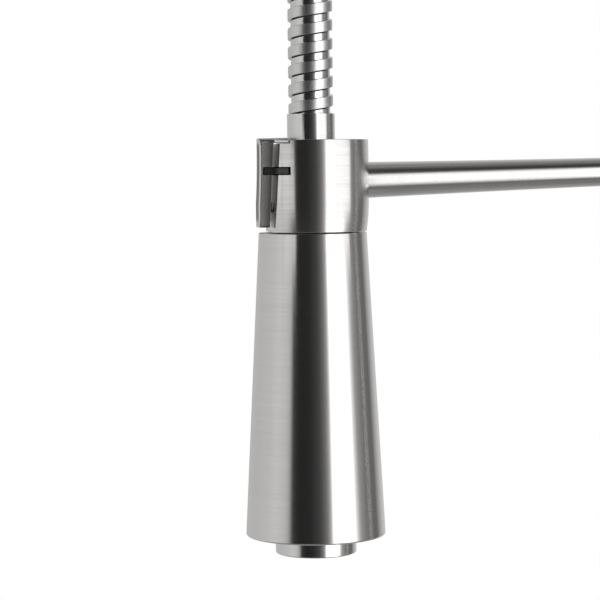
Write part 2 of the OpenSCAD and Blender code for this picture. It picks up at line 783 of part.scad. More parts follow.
// The wound skin is a grid of corners that climbs one pitch per turn, between plain cuffs
module strip_wound_hose() {
    n = hose_sides;
    turn = 360 / n;
    arc_from = leg_up;
    bore_at = concat(
        [0, arc_from],
        [for (i = [1:bore_steps]) arc_from + arch_len * i / bore_steps],
        [hose_len]
    );
    bores = len(bore_at);
    skin = [for (k = [0:rib_last]) for (j = [0:n - 1]) hose_point(rib_place(k, j), rib_radius(k), j * turn)];
    cuffs = [for (s = [0, rib_start - 1, rib_end + 1, hose_len]) for (j = [0:n - 1])
        hose_point(s, cuff_r, j * turn)];
    bore = [for (s = bore_at) for (j = [0:n - 1]) hose_point(s, hose_bore_r, j * turn)];
    cuff0 = len(skin);
    bore0 = cuff0 + len(cuffs);
    // A band of triangles between two rows, given the four corners of each cell
    function cell(a, b, c, d) = [[a, d, c], [a, c, b]];
    function row(first, second) = [for (j = [0:n - 1]) let (j2 = (j + 1) % n)
        each cell(first + j, first + j2, second + j2, second + j)];
    function at(k, j) = j < n ? k * n + j : (k + hose_rows) * n;
    last = rib_last;
    skin_faces = [for (k = [0:last - 1]) for (j = [0:n - 1])
        if (j < n - 1 || k + hose_rows < last)
            each cell(at(k, j), at(k, j + 1), at(k + 1, j + 1), at(k + 1, j))];
    low = cuff0 + n;
    high = cuff0 + 2 * n;
    low_faces = concat(
        [for (j = [0:n - 2]) each cell(low + j, low + j + 1, at(0, j + 1), at(0, j))],
        [[low + n - 1, at(0, 0), low]],
        [for (k = [0:hose_rows - 1]) [low + n - 1, at(k + 1, 0), at(k, 0)]],
        [[low + n - 1, at(0, n - 1), at(hose_rows, 0)]]
    );
    high_faces = concat(
        [for (j = [0:n - 2]) each cell(at(last, j), at(last, j + 1), high + j + 1, high + j)],
        [[high, at(last, n - 1), high + n - 1]],
        [for (k = [0:hose_rows - 1]) [high, at(last - k - 1, n - 1), at(last - k, n - 1)]],
        [[high, at(last, 0), at(last - hose_rows, n - 1)]]
    );
    cuff_faces = concat(row(cuff0, low), row(high, cuff0 + 3 * n));
    bore_faces = [for (i = [0:bores - 2])
        for (f = row(bore0 + i * n, bore0 + (i + 1) * n)) [f[2], f[1], f[0]]];
    far = bore0 + (bores - 1) * n;
    end_faces = concat(
        [for (f = row(bore0, cuff0)) f],
        [for (f = row(cuff0 + 3 * n, far)) f]
    );
    color(bright_steel) polyhedron(
        concat(skin, cuffs, bore),
        concat(skin_faces, low_faces, high_faces, cuff_faces, bore_faces, end_faces),
        convexity = 20
    );
}

module hose_sweep(r) {
    translate([0, 0, z_hose_start]) cylinder(r = r, h = leg_up);
    translate([-arch_r, 0, arch_z]) rotate([90, 0, 0]) rotate_extrude(angle = 180)
        translate([arch_r, 0]) circle(r = r);
    translate([-reach, 0, arch_z - leg_down]) cylinder(r = r, h = leg_down);
}

module inner_hose() {
    color(white_plastic) difference() {
        hose_sweep(inner_d / 2);
        translate([0, 0, z_hose_start - past]) cylinder(d = inner_bore, h = leg_up + past);
        translate([-arch_r, 0, arch_z]) rotate([90, 0, 0]) rotate_extrude(angle = 180)
            translate([arch_r, 0]) circle(d = inner_bore);
        translate([-reach, 0, arch_z - leg_down - past]) cylinder(d = inner_bore, h = leg_down + past);
    }
}

module clamp_screw_place() {
    translate([clamp_r + clamp_ear / 2, -clamp_ear_w - past, z_clamp]) rotate([-90, 0, 0]) children();
}

module arm_clamp() {
    color(steel) difference() {
        union() {
            translate([0, 0, z_clamp - clamp_h / 2]) rotate_extrude() polygon([
                [0, 0], [clamp_r - chamfer, 0], [clamp_r, chamfer],
                [clamp_r, clamp_h - chamfer], [clamp_r - chamfer, clamp_h], [0, clamp_h]
            ]);
            translate([0, -clamp_ear_w, z_clamp - clamp_ear_h / 2])
                cube([clamp_r + clamp_ear, 2 * clamp_ear_w, clamp_ear_h]);
            along_arm() translate([0, 0, arm_total - clamp_r - clamp_hub_l])
                cylinder(r = clamp_hub_r, h = clamp_hub_l + clamp_wall);
        }
        translate([0, 0, z_clamp - clamp_h]) cylinder(r = riser_r, h = 2 * clamp_h);
        translate([0, -clamp_split / 2, z_clamp - clamp_h]) cube([2 * clamp_r, clamp_split, 2 * clamp_h]);
        along_arm() translate([0, 0, arm_total - clamp_r - clamp_hub_l - past])
            cylinder(r = arm_end_r, h = arm_socket + past);
        clamp_screw_place() cylinder(d = clamp_screw_d, h = 2 * clamp_ear_w + 2 * past);
    }
}

module clamp_screw() {
    color(steel) clamp_screw_place() difference() {
        union() {
            translate([0, 0, past]) cylinder(d = clamp_screw_d, h = 2 * clamp_ear_w);
            translate([0, 0, past - 4]) turned(clamp_screw_d / 2 + 1.6, 4, 0.3);
        }
        translate([0, 0, past - 5]) cylinder(r = clamp_screw_d / 2 - 0.4, h = 3, $fn = 6);
    }
}

module support_arm() {
    first = collar_r - 4;
    last = arm_total - clamp_r - clamp_hub_l;
    steps = 12;
    color(steel) difference() {
        along_arm() rotate_extrude() polygon(concat(
            [[0, first]],
            [for (i = [0:steps]) let (d = first + (last - first) * i / steps) [arm_at(d), d]],
            [[arm_end_r, last], [arm_end_r, last + arm_socket], [0, last + arm_socket]]
        ));
        at_spray() collar_blank();
    }
}

// Docking collar
module collar_blank() {
    rotate_extrude() translate([0, z_collar]) polygon(concat(
        [[0, 0], [collar_at(0) - 0.3, 0]],
        [for (i = [0:5]) let (h = 0.3 + (belly_h - 0.3) * i / 5) [collar_at(h), h]],
        [for (i = [0:3]) let (h = collar_h - brow_h + (brow_h - 0.3) * i / 3) [collar_at(h), h]],
        [[collar_at(collar_h) - 0.3, collar_h], [0, collar_h]]
    ));
}

// Everything left of a plane that lies the given distance outside the flat
module left_of_flat(shift) {
    translate([-flat_x - shift, 0, z_slot]) rotate([0, flat_slant, 0])
        translate([-block, -block / 2, -block / 2]) cube(block);
}

module left_of(x, z, h) {
    translate([-block, -block / 2, z]) cube([block - x, block, h]);
}

module spring_bore() {
    translate([-spring_out_x, 0, z_spring]) rotate([0, 90, 0])
        cylinder(r = spring_bore_r, h = spring_out_x - spring_in_x);
}

module dock_collar() {
    color(steel) at_spray() difference() {
        collar_blank();
        left_of_flat(0);
        translate([0, 0, z_collar - past]) cylinder(r = bush_r, h = z_bush_top - z_collar + past);
        translate([0, 0, z_collar]) cylinder(r = dock_r, h = collar_h - lip_h);
        translate([0, 0, z_collar]) cylinder(r = lip_r, h = collar_h + past);
        left_of(slot_x, z_slot - slot_h / 2, slot_h);
        left_of(slot_x, z_collar_top - recess_depth, recess_depth + past);
        translate([latch_travel, 0, z_slot - slot_h / 2]) {
            cylinder(r = pocket_r, h = slot_h);
            translate([-block, -pocket_r, 0]) cube([block, 2 * pocket_r, slot_h]);
        }
        spring_bore();
    }
}

module dock_bush() {
    color(black_plastic) at_spray() translate([0, 0, z_collar + 0.4])
        ring(bush_r, bush_bore_r, z_bush_top - z_collar - 0.4);
}

// Thumb latch
module latch_paddle() {
    top = z_collar_top + paddle_rise;
    color(bright_steel) at_spray() difference() {
        intersection() {
            translate([0, 0, z_collar]) turned(collar_r + paddle_proud, top - z_collar, chamfer);
            union() {
                intersection() {
                    left_of_flat(paddle_gap);
                    translate([-block, -paddle_w / 2, z_collar + paddle_up]) cube([block, paddle_w, block]);
                }
                intersection() {
                    left_of(shoulder_x, top - wing_t, wing_t);
                    translate([-flat_x - 1, -block / 2, z_collar]) cube([block, block, block]);
                    cylinder(r = collar_at(collar_h) - wing_inset, h = top);
                }
            }
        }
        translate([-collar_r - dish_r + dish_depth, 0, z_collar + dish_up * collar_h]) rotate([90, 0, 0])
            translate([0, 0, -block / 2]) cylinder(r = dish_r, h = block, $fn = 720);
        translate([-notch_x, -block / 2, z_slot - slot_h / 2]) cube([block, block, slot_h]);
        translate([-latch_pin_x, 0, z_slot - latch_pin_l]) cylinder(d = latch_pin_d, h = block);
        spring_bore();
    }
}

module latch_plate() {
    color(black_plastic) at_spray() translate([0, 0, z_slot - plate_t / 2]) difference() {
        union() {
            cylinder(r = plate_r, h = plate_t);
            translate([-shoulder_x, -plate_r, 0]) cube([shoulder_x, 2 * plate_r, plate_t]);
            intersection() {
                cylinder(r = collar_r - shoulder_inset, h = plate_t);
                translate([-flat_x + 0.15, -block / 2, 0]) cube([flat_x - 0.15 - shoulder_x, block, plate_t]);
            }
            translate([-tongue_x, -tongue_w / 2, 0]) cube([tongue_x - shoulder_x, tongue_w, plate_t]);
        }
        for (shift = [0, latch_travel]) translate([-shift, 0, -past])
            cylinder(r = plate_hole_r, h = plate_t + 2 * past);
        translate([-latch_travel, -plate_hole_r, -past]) cube([latch_travel, 2 * plate_hole_r, plate_t + 2 * past]);
        translate([-latch_pin_x, 0, -past]) cylinder(d = latch_pin_d, h = plate_t + 2 * past);
    }
}

module latch_pin() {
    color(steel) at_spray() translate([-latch_pin_x, 0, z_slot - latch_pin_l])
        cylinder(d = latch_pin_d, h = z_collar_top - z_slot + latch_pin_l - 0.2);
}

// Corners of the latch spring's wire, along +Z
spring_l = spring_out_x - spring_in_x;
spring_count = spring_turns * spring_steps;
spring_path = [for (i = [0:spring_count]) let (a = 360 * i / spring_steps) [
    (spring_d - spring_wire) / 2 * cos(a), (spring_d - spring_wire) / 2 * sin(a),
    spring_wire / 2 + (spring_l - spring_wire) * i / spring_count
]];
spring_least_gap = min([for (i = [0:spring_count - spring_steps])
    norm(spring_path[i + spring_steps] - spring_path[i])]) - spring_wire;

module latch_spring() {
    n = spring_sides;
    points = [for (i = [0:spring_count]) let (p = spring_path[i], a = 360 * i / spring_steps)
        for (j = [0:n - 1]) let (b = 360 * j / n) [
            p[0] + spring_wire / 2 * cos(b) * cos(a), p[1] + spring_wire / 2 * cos(b) * sin(a),
            p[2] + spring_wire / 2 * sin(b)
        ]];
    echo(least_gap_in_latch_spring = spring_least_gap);
    color(steel) at_spray() translate([-spring_out_x, 0, z_spring]) rotate([0, 90, 0]) polyhedron(
        points,
        concat(
            [for (i = [0:spring_count - 1]) for (j = [0:n - 1]) let (j2 = (j + 1) % n)
                each [[i * n + j, i * n + j2, (i + 1) * n + j2], [i * n + j, (i + 1) * n + j2, (i + 1) * n + j]]],
            [for (j = [1:n - 2]) [0, j + 1, j]],
            [for (j = [1:n - 2]) [spring_count * n, spring_count * n + j, spring_count * n + j + 1]]
        ),
        convexity = 10
    );
}

// Hose end
module lower_ferrule() {
    color(bright_steel) at_spray() translate([0, 0, z_ferrule])
        ring(ferrule_r, ferrule_bore_r, z_ferrule_top - z_ferrule);
}

module hose_tail() {
    color(brass) at_spray() difference() {
        union() {
            translate([0, 0, z_stud]) cylinder(r = stud_r, h = z_tail - z_stud);
            translate([0, 0, z_tail]) cylinder(r = ferrule_r - 0.1, h = flange_t);
            translate([0, 0, z_ferrule]) cylinder(r = barb_r, h = barb_l);
        }
        translate([0, 0, z_stud - past]) cylinder(r = tail_bore_r, h = z_ferrule + barb_l - z_stud + 2 * past);
        for (up = tail_ring_up) translate([0, 0, z_stud + up - 1]) ring(stud_r + past, stud_r - 1.8, 2);
        translate([0, 0, z_neck_top - clip_down - 0.15])
            ring(stud_r + past, clip_groove_r - 0.1, clip_t + 0.3);
    }
}

module tail_rings() {
    color(rubber) at_spray() for (up = tail_ring_up) translate([0, 0, z_stud + up])
        o_ring(stud_r + run_gap / 2, ring_wire);
}

// Spray head
module spray_neck() {
    color(steel) at_spray() difference() {
        union() {
            translate([0, 0, z_neck_foot]) cylinder(r = neck_thread_r, h = neck_down);
            translate([0, 0, z_seam]) turned(neck_r, z_neck_top - z_seam, 0.8);
        }
        translate([0, 0, z_socket]) cylinder(r = socket_r, h = collar_h);
        translate([0, 0, z_neck_foot - past]) cylinder(r = neck_bore_r, h = z_socket - z_neck_foot + 2 * past);
        translate([0, 0, z_slot - slot_h / 2]) ring(neck_r + past, neck_r - neck_groove, slot_h);
        translate([0, 0, z_neck_top - clip_down]) cylinder(r = clip_r, h = clip_t);
    }
}

module swivel_clip() {
    color(steel) at_spray() translate([0, 0, z_neck_top - clip_down]) difference() {
        ring(clip_r, clip_groove_r, clip_t);
        translate([0, -1.5, -past]) cube([clip_r + past, 3, clip_t + 2 * past]);
    }
}

module spray_cone() {
    inner = z_seam - cone_cap_t - z_foot;
    edge = [for (a = [-90:30:0]) [
        cone_foot_r - cone_edge + cone_edge * cos(a), cone_edge + cone_edge * sin(a)
    ]];
    color(steel) at_spray() translate([0, 0, z_foot]) rotate_extrude() polygon(concat(
        [[cone_foot_r - cone_wall, 0]],
        edge,
        [[cone_at(cone_h - chamfer), cone_h - chamfer], [cone_top_r - chamfer, cone_h],
            [neck_thread_r, cone_h], [neck_thread_r, inner],
            [cone_at(inner) - cone_wall, inner]]
    ));
}

module cone_nut() {
    color(brass) at_spray() translate([0, 0, z_seam - cone_cap_t - cone_nut_t]) difference() {
        cylinder(r = neck_thread_r + 4, h = cone_nut_t, $fn = 6);
        translate([0, 0, -past]) cylinder(r = neck_thread_r, h = cone_nut_t + 2 * past);
    }
}

module water_tube() {
    color(grey_plastic) at_spray() difference() {
        union() {
            translate([0, 0, z_coupling]) cylinder(r = coupling_r, h = z_coupling_top - z_coupling);
            translate([0, 0, z_coupling - 4]) cylinder(r1 = tube_r, r2 = coupling_r, h = 4);
            translate([0, 0, z_plug_top]) cylinder(r = tube_r, h = z_coupling - z_plug_top);
        }
        translate([0, 0, z_neck_foot]) cylinder(r = neck_thread_r, h = neck_down);
        translate([0, 0, z_valve]) cylinder(r = tube_bore_r, h = z_neck_foot - z_valve + past);
        translate([0, 0, z_plug_top - past]) cylinder(r = tube_bore_r - 1.2, h = z_valve - z_plug_top + 2 * past);
        translate([0, 0, z_neck_foot + 3]) ring(neck_thread_r + 1, neck_thread_r - past, 2.2);
    }
}

module tube_ring() {
    color(rubber) at_spray() translate([0, 0, z_neck_foot + 3]) ring(neck_thread_r + 1, neck_thread_r, 2.2);
}

module check_valve() {
    color(white_plastic) at_spray() translate([0, 0, z_valve]) difference() {
        cylinder(r = tube_bore_r, h = valve_l);
        translate([0, 0, 3]) cylinder(r = tube_bore_r - 1.4, h = valve_l);
        for (a = [0:60:300]) rotate(a) translate([tube_bore_r / 2, 0, -past]) cylinder(r = 1.2, h = 3 + 2 * past);
    }
}

module outlet_body() {
    color(brass) at_spray() difference() {
        union() {
            translate([0, 0, z_plug]) cylinder(
                r1 = cone_at(plug_foot) - cone_wall, r2 = cone_at(plug_foot + plug_h) - cone_wall, h = plug_h
            );
            translate([0, 0, z_plug_top]) cylinder(r = tube_r + 2.4, h = hub_tube_h);
        }
        translate([0, 0, z_plug - past]) cylinder(r = aerator_thread_r, h = aerator_thread_l + washer_t + past);
        translate([0, 0, z_plug_top]) cylinder(r = tube_r, h = hub_tube_h + past);
        translate([0, 0, z_plug]) cylinder(r = tube_bore_r - 1.2, h = plug_h + past);
    }
}

module aerator_housing() {
    low = outlet_h;
    groove_z = z_foot - aerator_groove;
    color(bright_steel) at_spray() rotate_extrude() polygon([
        [aerator_bore_r - 0.8, low], [aerator_r - 0.6, low], [aerator_r, low + 0.6],
        [aerator_r, groove_z - 0.3], [aerator_r - 0.3, groove_z], [aerator_thread_r + 1.1, groove_z],
        [aerator_thread_r + 1.1, z_plug], [aerator_thread_r, z_plug],
        [aerator_thread_r, z_plug + aerator_thread_l], [aerator_bore_r, z_plug + aerator_thread_l],
        [aerator_bore_r, low + 1.2], [aerator_bore_r - 0.8, low + 1.2]
    ]);
}

module aerator_screen() {
    color(steel) at_spray() translate([0, 0, outlet_h + 1.2]) cylinder(r = aerator_bore_r, h = 0.8);
}

module aerator_insert() {
    color(black_plastic) at_spray() translate([0, 0, outlet_h + 2]) difference() {
        cylinder(r = aerator_bore_r, h = z_plug + aerator_thread_l - outlet_h - 2);
        translate([0, 0, 2]) cylinder(r = aerator_bore_r - 1.5, h = z_plug);
        for (r = [3, 6.5]) for (i = [0:2 * r]) rotate(360 * i / (2 * r + 1)) translate([r, 0, -past])
            cylinder(r = 0.9, h = 3 + past);
    }
}

module aerator_washer() {
    color(rubber) at_spray() translate([0, 0, z_plug + aerator_thread_l])
        ring(aerator_thread_r, aerator_bore_r - 1.5, washer_t);
}

deck_flange();
flange_seal();
mounting_shank();
clamp_gasket();
clamp_washer();
mounting_nut();
nut_screws();
valve_body();
cartridge_seals();
cartridge_housing();
fixed_disc();
cartridge_nut();
dome_cap();
riser_lock_screw();
cartridge_guide();
pivot_pin();
moving_disc();
disc_carrier();
lever_stem();
lever_hub();
lever_rod();
hub_screw();
hub_plug();
swivel_spigot();
spigot_rings();
spigot_bushes();
riser_tube();
hose_union();
union_ring();
upper_ferrule();
strip_wound_hose();
inner_hose();
arm_clamp();
clamp_screw();
support_arm();
dock_collar();
dock_bush();
latch_paddle();
latch_plate();
latch_pin();
latch_spring();
lower_ferrule();
hose_tail();
tail_rings();
spray_neck();
swivel_clip();
spray_cone();
cone_nut();
water_tube();
tube_ring();
check_valve();
outlet_body();
aerator_housing();
aerator_insert();
aerator_screen();
aerator_washer();
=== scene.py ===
import json
import math

import bpy
from mathutils import Matrix, Vector


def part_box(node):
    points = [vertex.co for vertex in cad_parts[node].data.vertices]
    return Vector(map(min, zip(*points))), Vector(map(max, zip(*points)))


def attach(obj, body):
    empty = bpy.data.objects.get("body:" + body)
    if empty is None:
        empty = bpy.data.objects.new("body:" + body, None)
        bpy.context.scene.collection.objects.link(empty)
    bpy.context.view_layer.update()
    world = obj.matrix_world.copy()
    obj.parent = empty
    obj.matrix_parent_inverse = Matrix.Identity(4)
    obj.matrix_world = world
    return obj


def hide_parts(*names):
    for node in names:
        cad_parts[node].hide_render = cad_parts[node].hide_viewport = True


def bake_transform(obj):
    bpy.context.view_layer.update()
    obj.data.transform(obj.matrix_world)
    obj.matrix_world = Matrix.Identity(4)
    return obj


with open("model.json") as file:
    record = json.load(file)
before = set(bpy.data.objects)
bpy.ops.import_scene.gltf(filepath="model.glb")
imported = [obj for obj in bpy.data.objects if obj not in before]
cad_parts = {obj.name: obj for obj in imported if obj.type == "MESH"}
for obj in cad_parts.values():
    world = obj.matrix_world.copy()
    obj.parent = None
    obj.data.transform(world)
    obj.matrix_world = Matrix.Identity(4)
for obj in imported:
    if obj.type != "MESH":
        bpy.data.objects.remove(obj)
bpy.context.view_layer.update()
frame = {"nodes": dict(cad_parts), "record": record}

# Lengths here are in millimetres, Blender's are in metres
MM = 0.001
# Corners of a new mesh that lie closer than this, in metres, become one
TOUCH = 2e-6
# The spray head's axis: the riser stands at 0
SPRAY_X = -210.0


def foot(node):
    """The height of a node's lowest point."""
    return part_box(node)[0].z / MM


def top(node):
    """The height of a node's highest point."""
    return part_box(node)[1].z / MM


CONE_FOOT, SEAM = foot("spray_cone"), top("spray_cone")
COLLAR, COLLAR_TOP = foot("dock_collar"), top("dock_collar")
SLOT = (foot("latch_plate") + top("latch_plate")) / 2
FERRULE, FERRULE_TOP = foot("lower_ferrule"), top("lower_ferrule")
UPPER_FERRULE, UPPER_TOP = foot("upper_ferrule"), top("upper_ferrule")
RISER, RISER_TOP = foot("riser_tube"), top("riser_tube")
BODY, BODY_TOP = foot("valve_body"), top("valve_body")
OUTLET = foot("aerator_housing")
COLLAR_R = 19.45
COLLAR_H = COLLAR_TOP - COLLAR
# The arm leaves the collar at this height and climbs a little towards the riser
ARM = COLLAR + 17.0
ARM_RISE = math.radians(1.2)
# The height of the lever's axis, along which the cartridge lies
LEVER = BODY_TOP - 56


# Camera
CAMERA_PLACE = (-0.32981, -0.75647, 0.3485)
CAMERA_YAW, CAMERA_PITCH, CAMERA_ROLL = -8.652, -3.613, -0.650


def place_camera():
    """The photograph's view: from a little left of square, nearly level with the collar."""
    lens = bpy.data.cameras.new("studio_camera")
    lens.lens = 133.47
    lens.sensor_width = 36
    lens.clip_start = 0.02
    camera = bpy.data.objects.new("studio_camera", lens)
    bpy.context.scene.collection.objects.link(camera)
    turn = (
        Matrix.Rotation(math.radians(CAMERA_YAW), 4, "Z")
        @ Matrix.Rotation(math.radians(90 + CAMERA_PITCH), 4, "X")
        @ Matrix.Rotation(math.radians(CAMERA_ROLL), 4, "Z")
    )
    camera.matrix_world = Matrix.Translation(CAMERA_PLACE) @ turn
    bpy.context.scene.camera = camera


place_camera()
bpy.context.scene.view_settings.view_transform = "Standard"


# Modelling
def only(piece=None):
    """Selects one object and nothing else."""
    bpy.ops.object.select_all(action="DESELECT")
    if piece:
        piece.select_set(True)
    bpy.context.view_layer.objects.active = piece


def edit(piece, choice="SELECT"):
    """Opens a piece for edit, with all of it selected or none."""
    only(piece)
    bpy.ops.object.mode_set(mode="EDIT")
    bpy.ops.mesh.select_all(action=choice)


def leave():
    bpy.ops.object.mode_set(mode="OBJECT")


def settle(piece, name):
    """Names a piece and moves its place into its mesh."""
    piece.name = name
    piece.data.name = name
    only(piece)
    bpy.ops.object.transform_apply(location=True, rotation=True, scale=True)
    return piece


def put(piece, place):
    piece.matrix_world = place
    return settle(piece, piece.name)


def finish_with(piece, kind, **values):
    """Adds a modifier and applies it."""
    change = piece.modifiers.new(kind.lower(), kind)
    for key, value in values.items():
        setattr(change, key, value)
    only(piece)
    bpy.ops.object.modifier_apply(modifier=change.name)
    return piece


def filleted(outline, parts=4):
    """The outline with each corner that has a third number rounded to that radius."""
    points = []
    for i, corner in enumerate(outline):
        here = Vector(corner[:2])
        if len(corner) < 3 or not 0 < i < len(outline) - 1:
            points.append(here)
            continue
        back = (Vector(outline[i - 1][:2]) - here).normalized()
        on = (Vector(outline[i + 1][:2]) - here).normalized()
        half = back.angle(on) / 2
        centre = here + (back + on).normalized() * corner[2] / math.sin(half)
        first = here + back * corner[2] / math.tan(half) - centre
        last = here + on * corner[2] / math.tan(half) - centre
        swing = math.atan2(first.x * last.y - first.y * last.x, first.dot(last))
        for k in range(parts + 1):
            points.append(centre + first @ Matrix.Rotation(-swing * k / parts, 2))
    return points


def drawn(points, across=0.0):
    """A line of corners in the upright plane, given as radius and height."""
    only()
    r, z = points[0]
    bpy.ops.mesh.primitive_plane_add(size=MM, location=((across + r) * MM, 0, z * MM))
    line = bpy.context.object
    edit(line)
    bpy.ops.mesh.merge(type="CENTER")
    for here, there in zip(points, points[1:]):
        step = ((there[0] - here[0]) * MM, 0, (there[1] - here[1]) * MM)
        bpy.ops.mesh.extrude_region_move(TRANSFORM_OT_translate={"value": step})
    return line


def turned(name, outline, across=0.0, steps=128, parts=4):
    """A lathe piece about the upright axis at the given x."""
    piece = drawn(filleted(outline, parts), across)
    bpy.ops.mesh.select_all(action="SELECT")
    bpy.ops.mesh.spin(steps=steps, angle=2 * math.pi, center=(across * MM, 0, 0), axis=(0, 0, 1))
    bpy.ops.mesh.select_all(action="SELECT")
    bpy.ops.mesh.remove_doubles(threshold=TOUCH)
    bpy.ops.mesh.normals_make_consistent(inside=False)
    leave()
    return settle(piece, name)


def wound(name, profile, pitch, low, high, sides, phase=0.0):
    """A rod whose skin climbs one pitch a turn, cut off square and closed at both ends."""
    start = low - pitch * (1 + phase % 1)
    piece = drawn([(r, start + share * pitch) for share, r in profile])
    leave()
    settle(piece, name)
    turns = math.ceil((high - low) / pitch) + 3
    finish_with(piece, "SCREW", axis="Z", angle=2 * math.pi, screw_offset=pitch * MM,
                iterations=turns, steps=sides, render_steps=sides, use_merge_vertices=False)
    edit(piece)
    bpy.ops.mesh.remove_doubles(threshold=TOUCH)
    for z, away in ((low, -1), (high, 1)):
        bpy.ops.mesh.select_all(action="SELECT")
        bpy.ops.mesh.bisect(plane_co=(0, 0, z * MM), plane_no=(0, 0, away), use_fill=True,
                            clear_outer=True)
    bpy.ops.mesh.select_all(action="SELECT")
    bpy.ops.mesh.normals_make_consistent(inside=False)
    leave()
    return piece


def block(name, low, high):
    only()
    middle = [(a + b) / 2 * MM for a, b in zip(low, high)]
    size = [(b - a) * MM for a, b in zip(low, high)]
    bpy.ops.mesh.primitive_cube_add(size=1, location=middle, scale=size)
    return settle(bpy.context.object, name)


def rod(name, radius, length, place, sides=96):
    only()
    bpy.ops.mesh.primitive_cylinder_add(vertices=sides, radius=radius * MM, depth=length * MM)
    return put(settle(bpy.context.object, name), place)


def joined(piece, other, how="UNION"):
    finish_with(piece, "BOOLEAN", operation=how, solver="EXACT", object=other)
    bpy.data.objects.remove(other, do_unlink=True)
    return piece


def cut(piece, *tools):
    for tool in tools:
        joined(piece, tool, "DIFFERENCE")
    return piece


def slice_off(piece, at, away):
    """Takes away all that lies beyond a plane, and closes the cut."""
    edit(piece)
    plane = [v * MM for v in at]
    bpy.ops.mesh.bisect(plane_co=plane, plane_no=away, use_fill=True, clear_outer=True)
    leave()
    return piece


def smooth(piece, angle=30):
    """Shades a piece smoothly, apart from the edges that are sharper than the angle."""
    only(piece)
    bpy.ops.object.shade_smooth_by_angle(angle=math.radians(angle))
    return finish_with(piece, "WEIGHTED_NORMAL", keep_sharp=True, weight=100)


def eased(piece, width, segments=2, angle=32):
    """Bevels every edge that is sharper than the angle."""
    finish_with(piece, "BEVEL", width=width * MM, segments=segments, limit_method="ANGLE",
                angle_limit=math.radians(angle), use_clamp_overlap=True)
    return smooth(piece, angle)


def softened(name, node, width, segments=2):
    """A copy of a node with its triangles joined, its flats made whole and its edges eased."""
    piece = frame["nodes"][node].copy()
    piece.data = piece.data.copy()
    piece.parent = None
    for key in list(piece.keys()):
        del piece[key]
    bpy.context.scene.collection.objects.link(piece)
    only(piece)
    bpy.ops.mesh.customdata_custom_splitnormals_clear()
    edit(piece)
    bpy.ops.mesh.remove_doubles(threshold=TOUCH)
    bpy.ops.mesh.dissolve_limited(angle_limit=math.radians(0.4))
    leave()
    settle(piece, name)
    return eased(piece, width, segments)


def upright(x=0.0, y=0.0, z=0.0):
    """A place for a piece that stands along the upright axis."""
    return Matrix.Translation((x * MM, y * MM, z * MM))


def along_lever():
    """Up becomes outwards along the lever's axis."""
    return upright(0, 0, LEVER) @ Matrix.Rotation(math.pi / 2, 4, "X")


def along_arm():
    """Up becomes outwards along the arm, from the spray head's axis."""
    return upright(SPRAY_X, 0, ARM) @ Matrix.Rotation(math.pi / 2 - ARM_RISE, 4, "Y")


# Spray head
CONE_R, CONE_TOP_R, CONE_WALL, CONE_ROOF = 24.2, 18.6, 1.6, 4
# The room for the neck in the cone's top and in the collar's
NECK_R = 8.5
AERATOR_R, AERATOR_BORE, AERATOR_WAIST = 14, 9.8, 13.1


def make_spray_cone():
    """The long shell, thin at the sides and thick at the roof that is clamped on the neck."""
    h = SEAM - CONE_FOOT
    roof = h - CONE_ROOF
    inside = CONE_TOP_R + (CONE_R - CONE_TOP_R) * CONE_ROOF / h - CONE_WALL
    rim = CONE_R - 1.2
    outline = [(rim, 0), (CONE_R, 0, 0.75), (CONE_TOP_R, h, 0.35), (NECK_R, h, 0.3),
               (NECK_R, roof), (inside, roof), (CONE_R - CONE_WALL, 0.4, 0.3), (rim, 0)]
    raised = [(corner[0], corner[1] + CONE_FOOT, *corner[2:]) for corner in outline]
    return smooth(turned("cone_shell", raised, SPRAY_X, 192))


def make_aerator():
    """The ring that shows under the cone, with its thread inside and the lip around the outlet."""
    low, neck = OUTLET, CONE_FOOT - 0.7
    outline = [(11, low), (AERATOR_R, low, 0.5), (AERATOR_R, neck, 0.25), (AERATOR_WAIST, neck),
               (AERATOR_WAIST, neck + 1.5), (12, neck + 1.5), (12, neck + 9), (10.6, neck + 9),
               (10.6, low + 1.2), (AERATOR_BORE, low + 1.2), (AERATOR_BORE, low, 0.25), (11, low)]
    return smooth(turned("aerator_ring", outline, SPRAY_X, 160))


def make_screen():
    """A square woven mesh, cut round, just inside the outlet's lip."""
    reach, wire = 10.2, 0.42
    only()
    bpy.ops.mesh.primitive_grid_add(x_subdivisions=22, y_subdivisions=22, size=21 * MM,
                                    location=(SPRAY_X * MM, 0, (OUTLET + 1.65) * MM))
    mesh = bpy.context.object
    edit(mesh, "DESELECT")
    leave()
    for face in mesh.data.polygons:
        face.select = face.center.xy.length > reach * MM
    bpy.ops.object.mode_set(mode="EDIT")
    bpy.ops.mesh.delete(type="FACE")
    leave()
    settle(mesh, "outlet_mesh")
    return finish_with(mesh, "WIREFRAME", thickness=wire * MM, use_even_offset=False,
                       use_boundary=True)


# Docking collar and latch
# How much the collar draws in, and over which height, at its foot and at its top
FOOT_DRAW, TOP_DRAW = (0.85, 11), (0.1, 5.5)


def collar_radius(h):
    """The collar's outside at a height over its foot."""
    foot_share = max(0, 1 - h / FOOT_DRAW[1])
    top_share = max(0, (h - COLLAR_H + TOP_DRAW[1]) / TOP_DRAW[1])
    return COLLAR_R - FOOT_DRAW[0] * foot_share ** 2 - TOP_DRAW[0] * top_share ** 2


def collar_side():
    heights = [1.2, 2.5, 4, 5.5, 7.2, 9, 11, COLLAR_H - 5.5, COLLAR_H - 3.5, COLLAR_H - 1.5]
    return ([(collar_radius(0), COLLAR, 0.28)]
            + [(collar_radius(h), COLLAR + h) for h in heights]
            + [(collar_radius(COLLAR_H), COLLAR_TOP, 0.24)])


def collar_blank(name, steps):
    """The collar's outside as one solid, for cutting its room out of other pieces."""
    outline = [(0, COLLAR)] + collar_side() + [(0, COLLAR_TOP)]
    return turned(name, outline, SPRAY_X, steps)


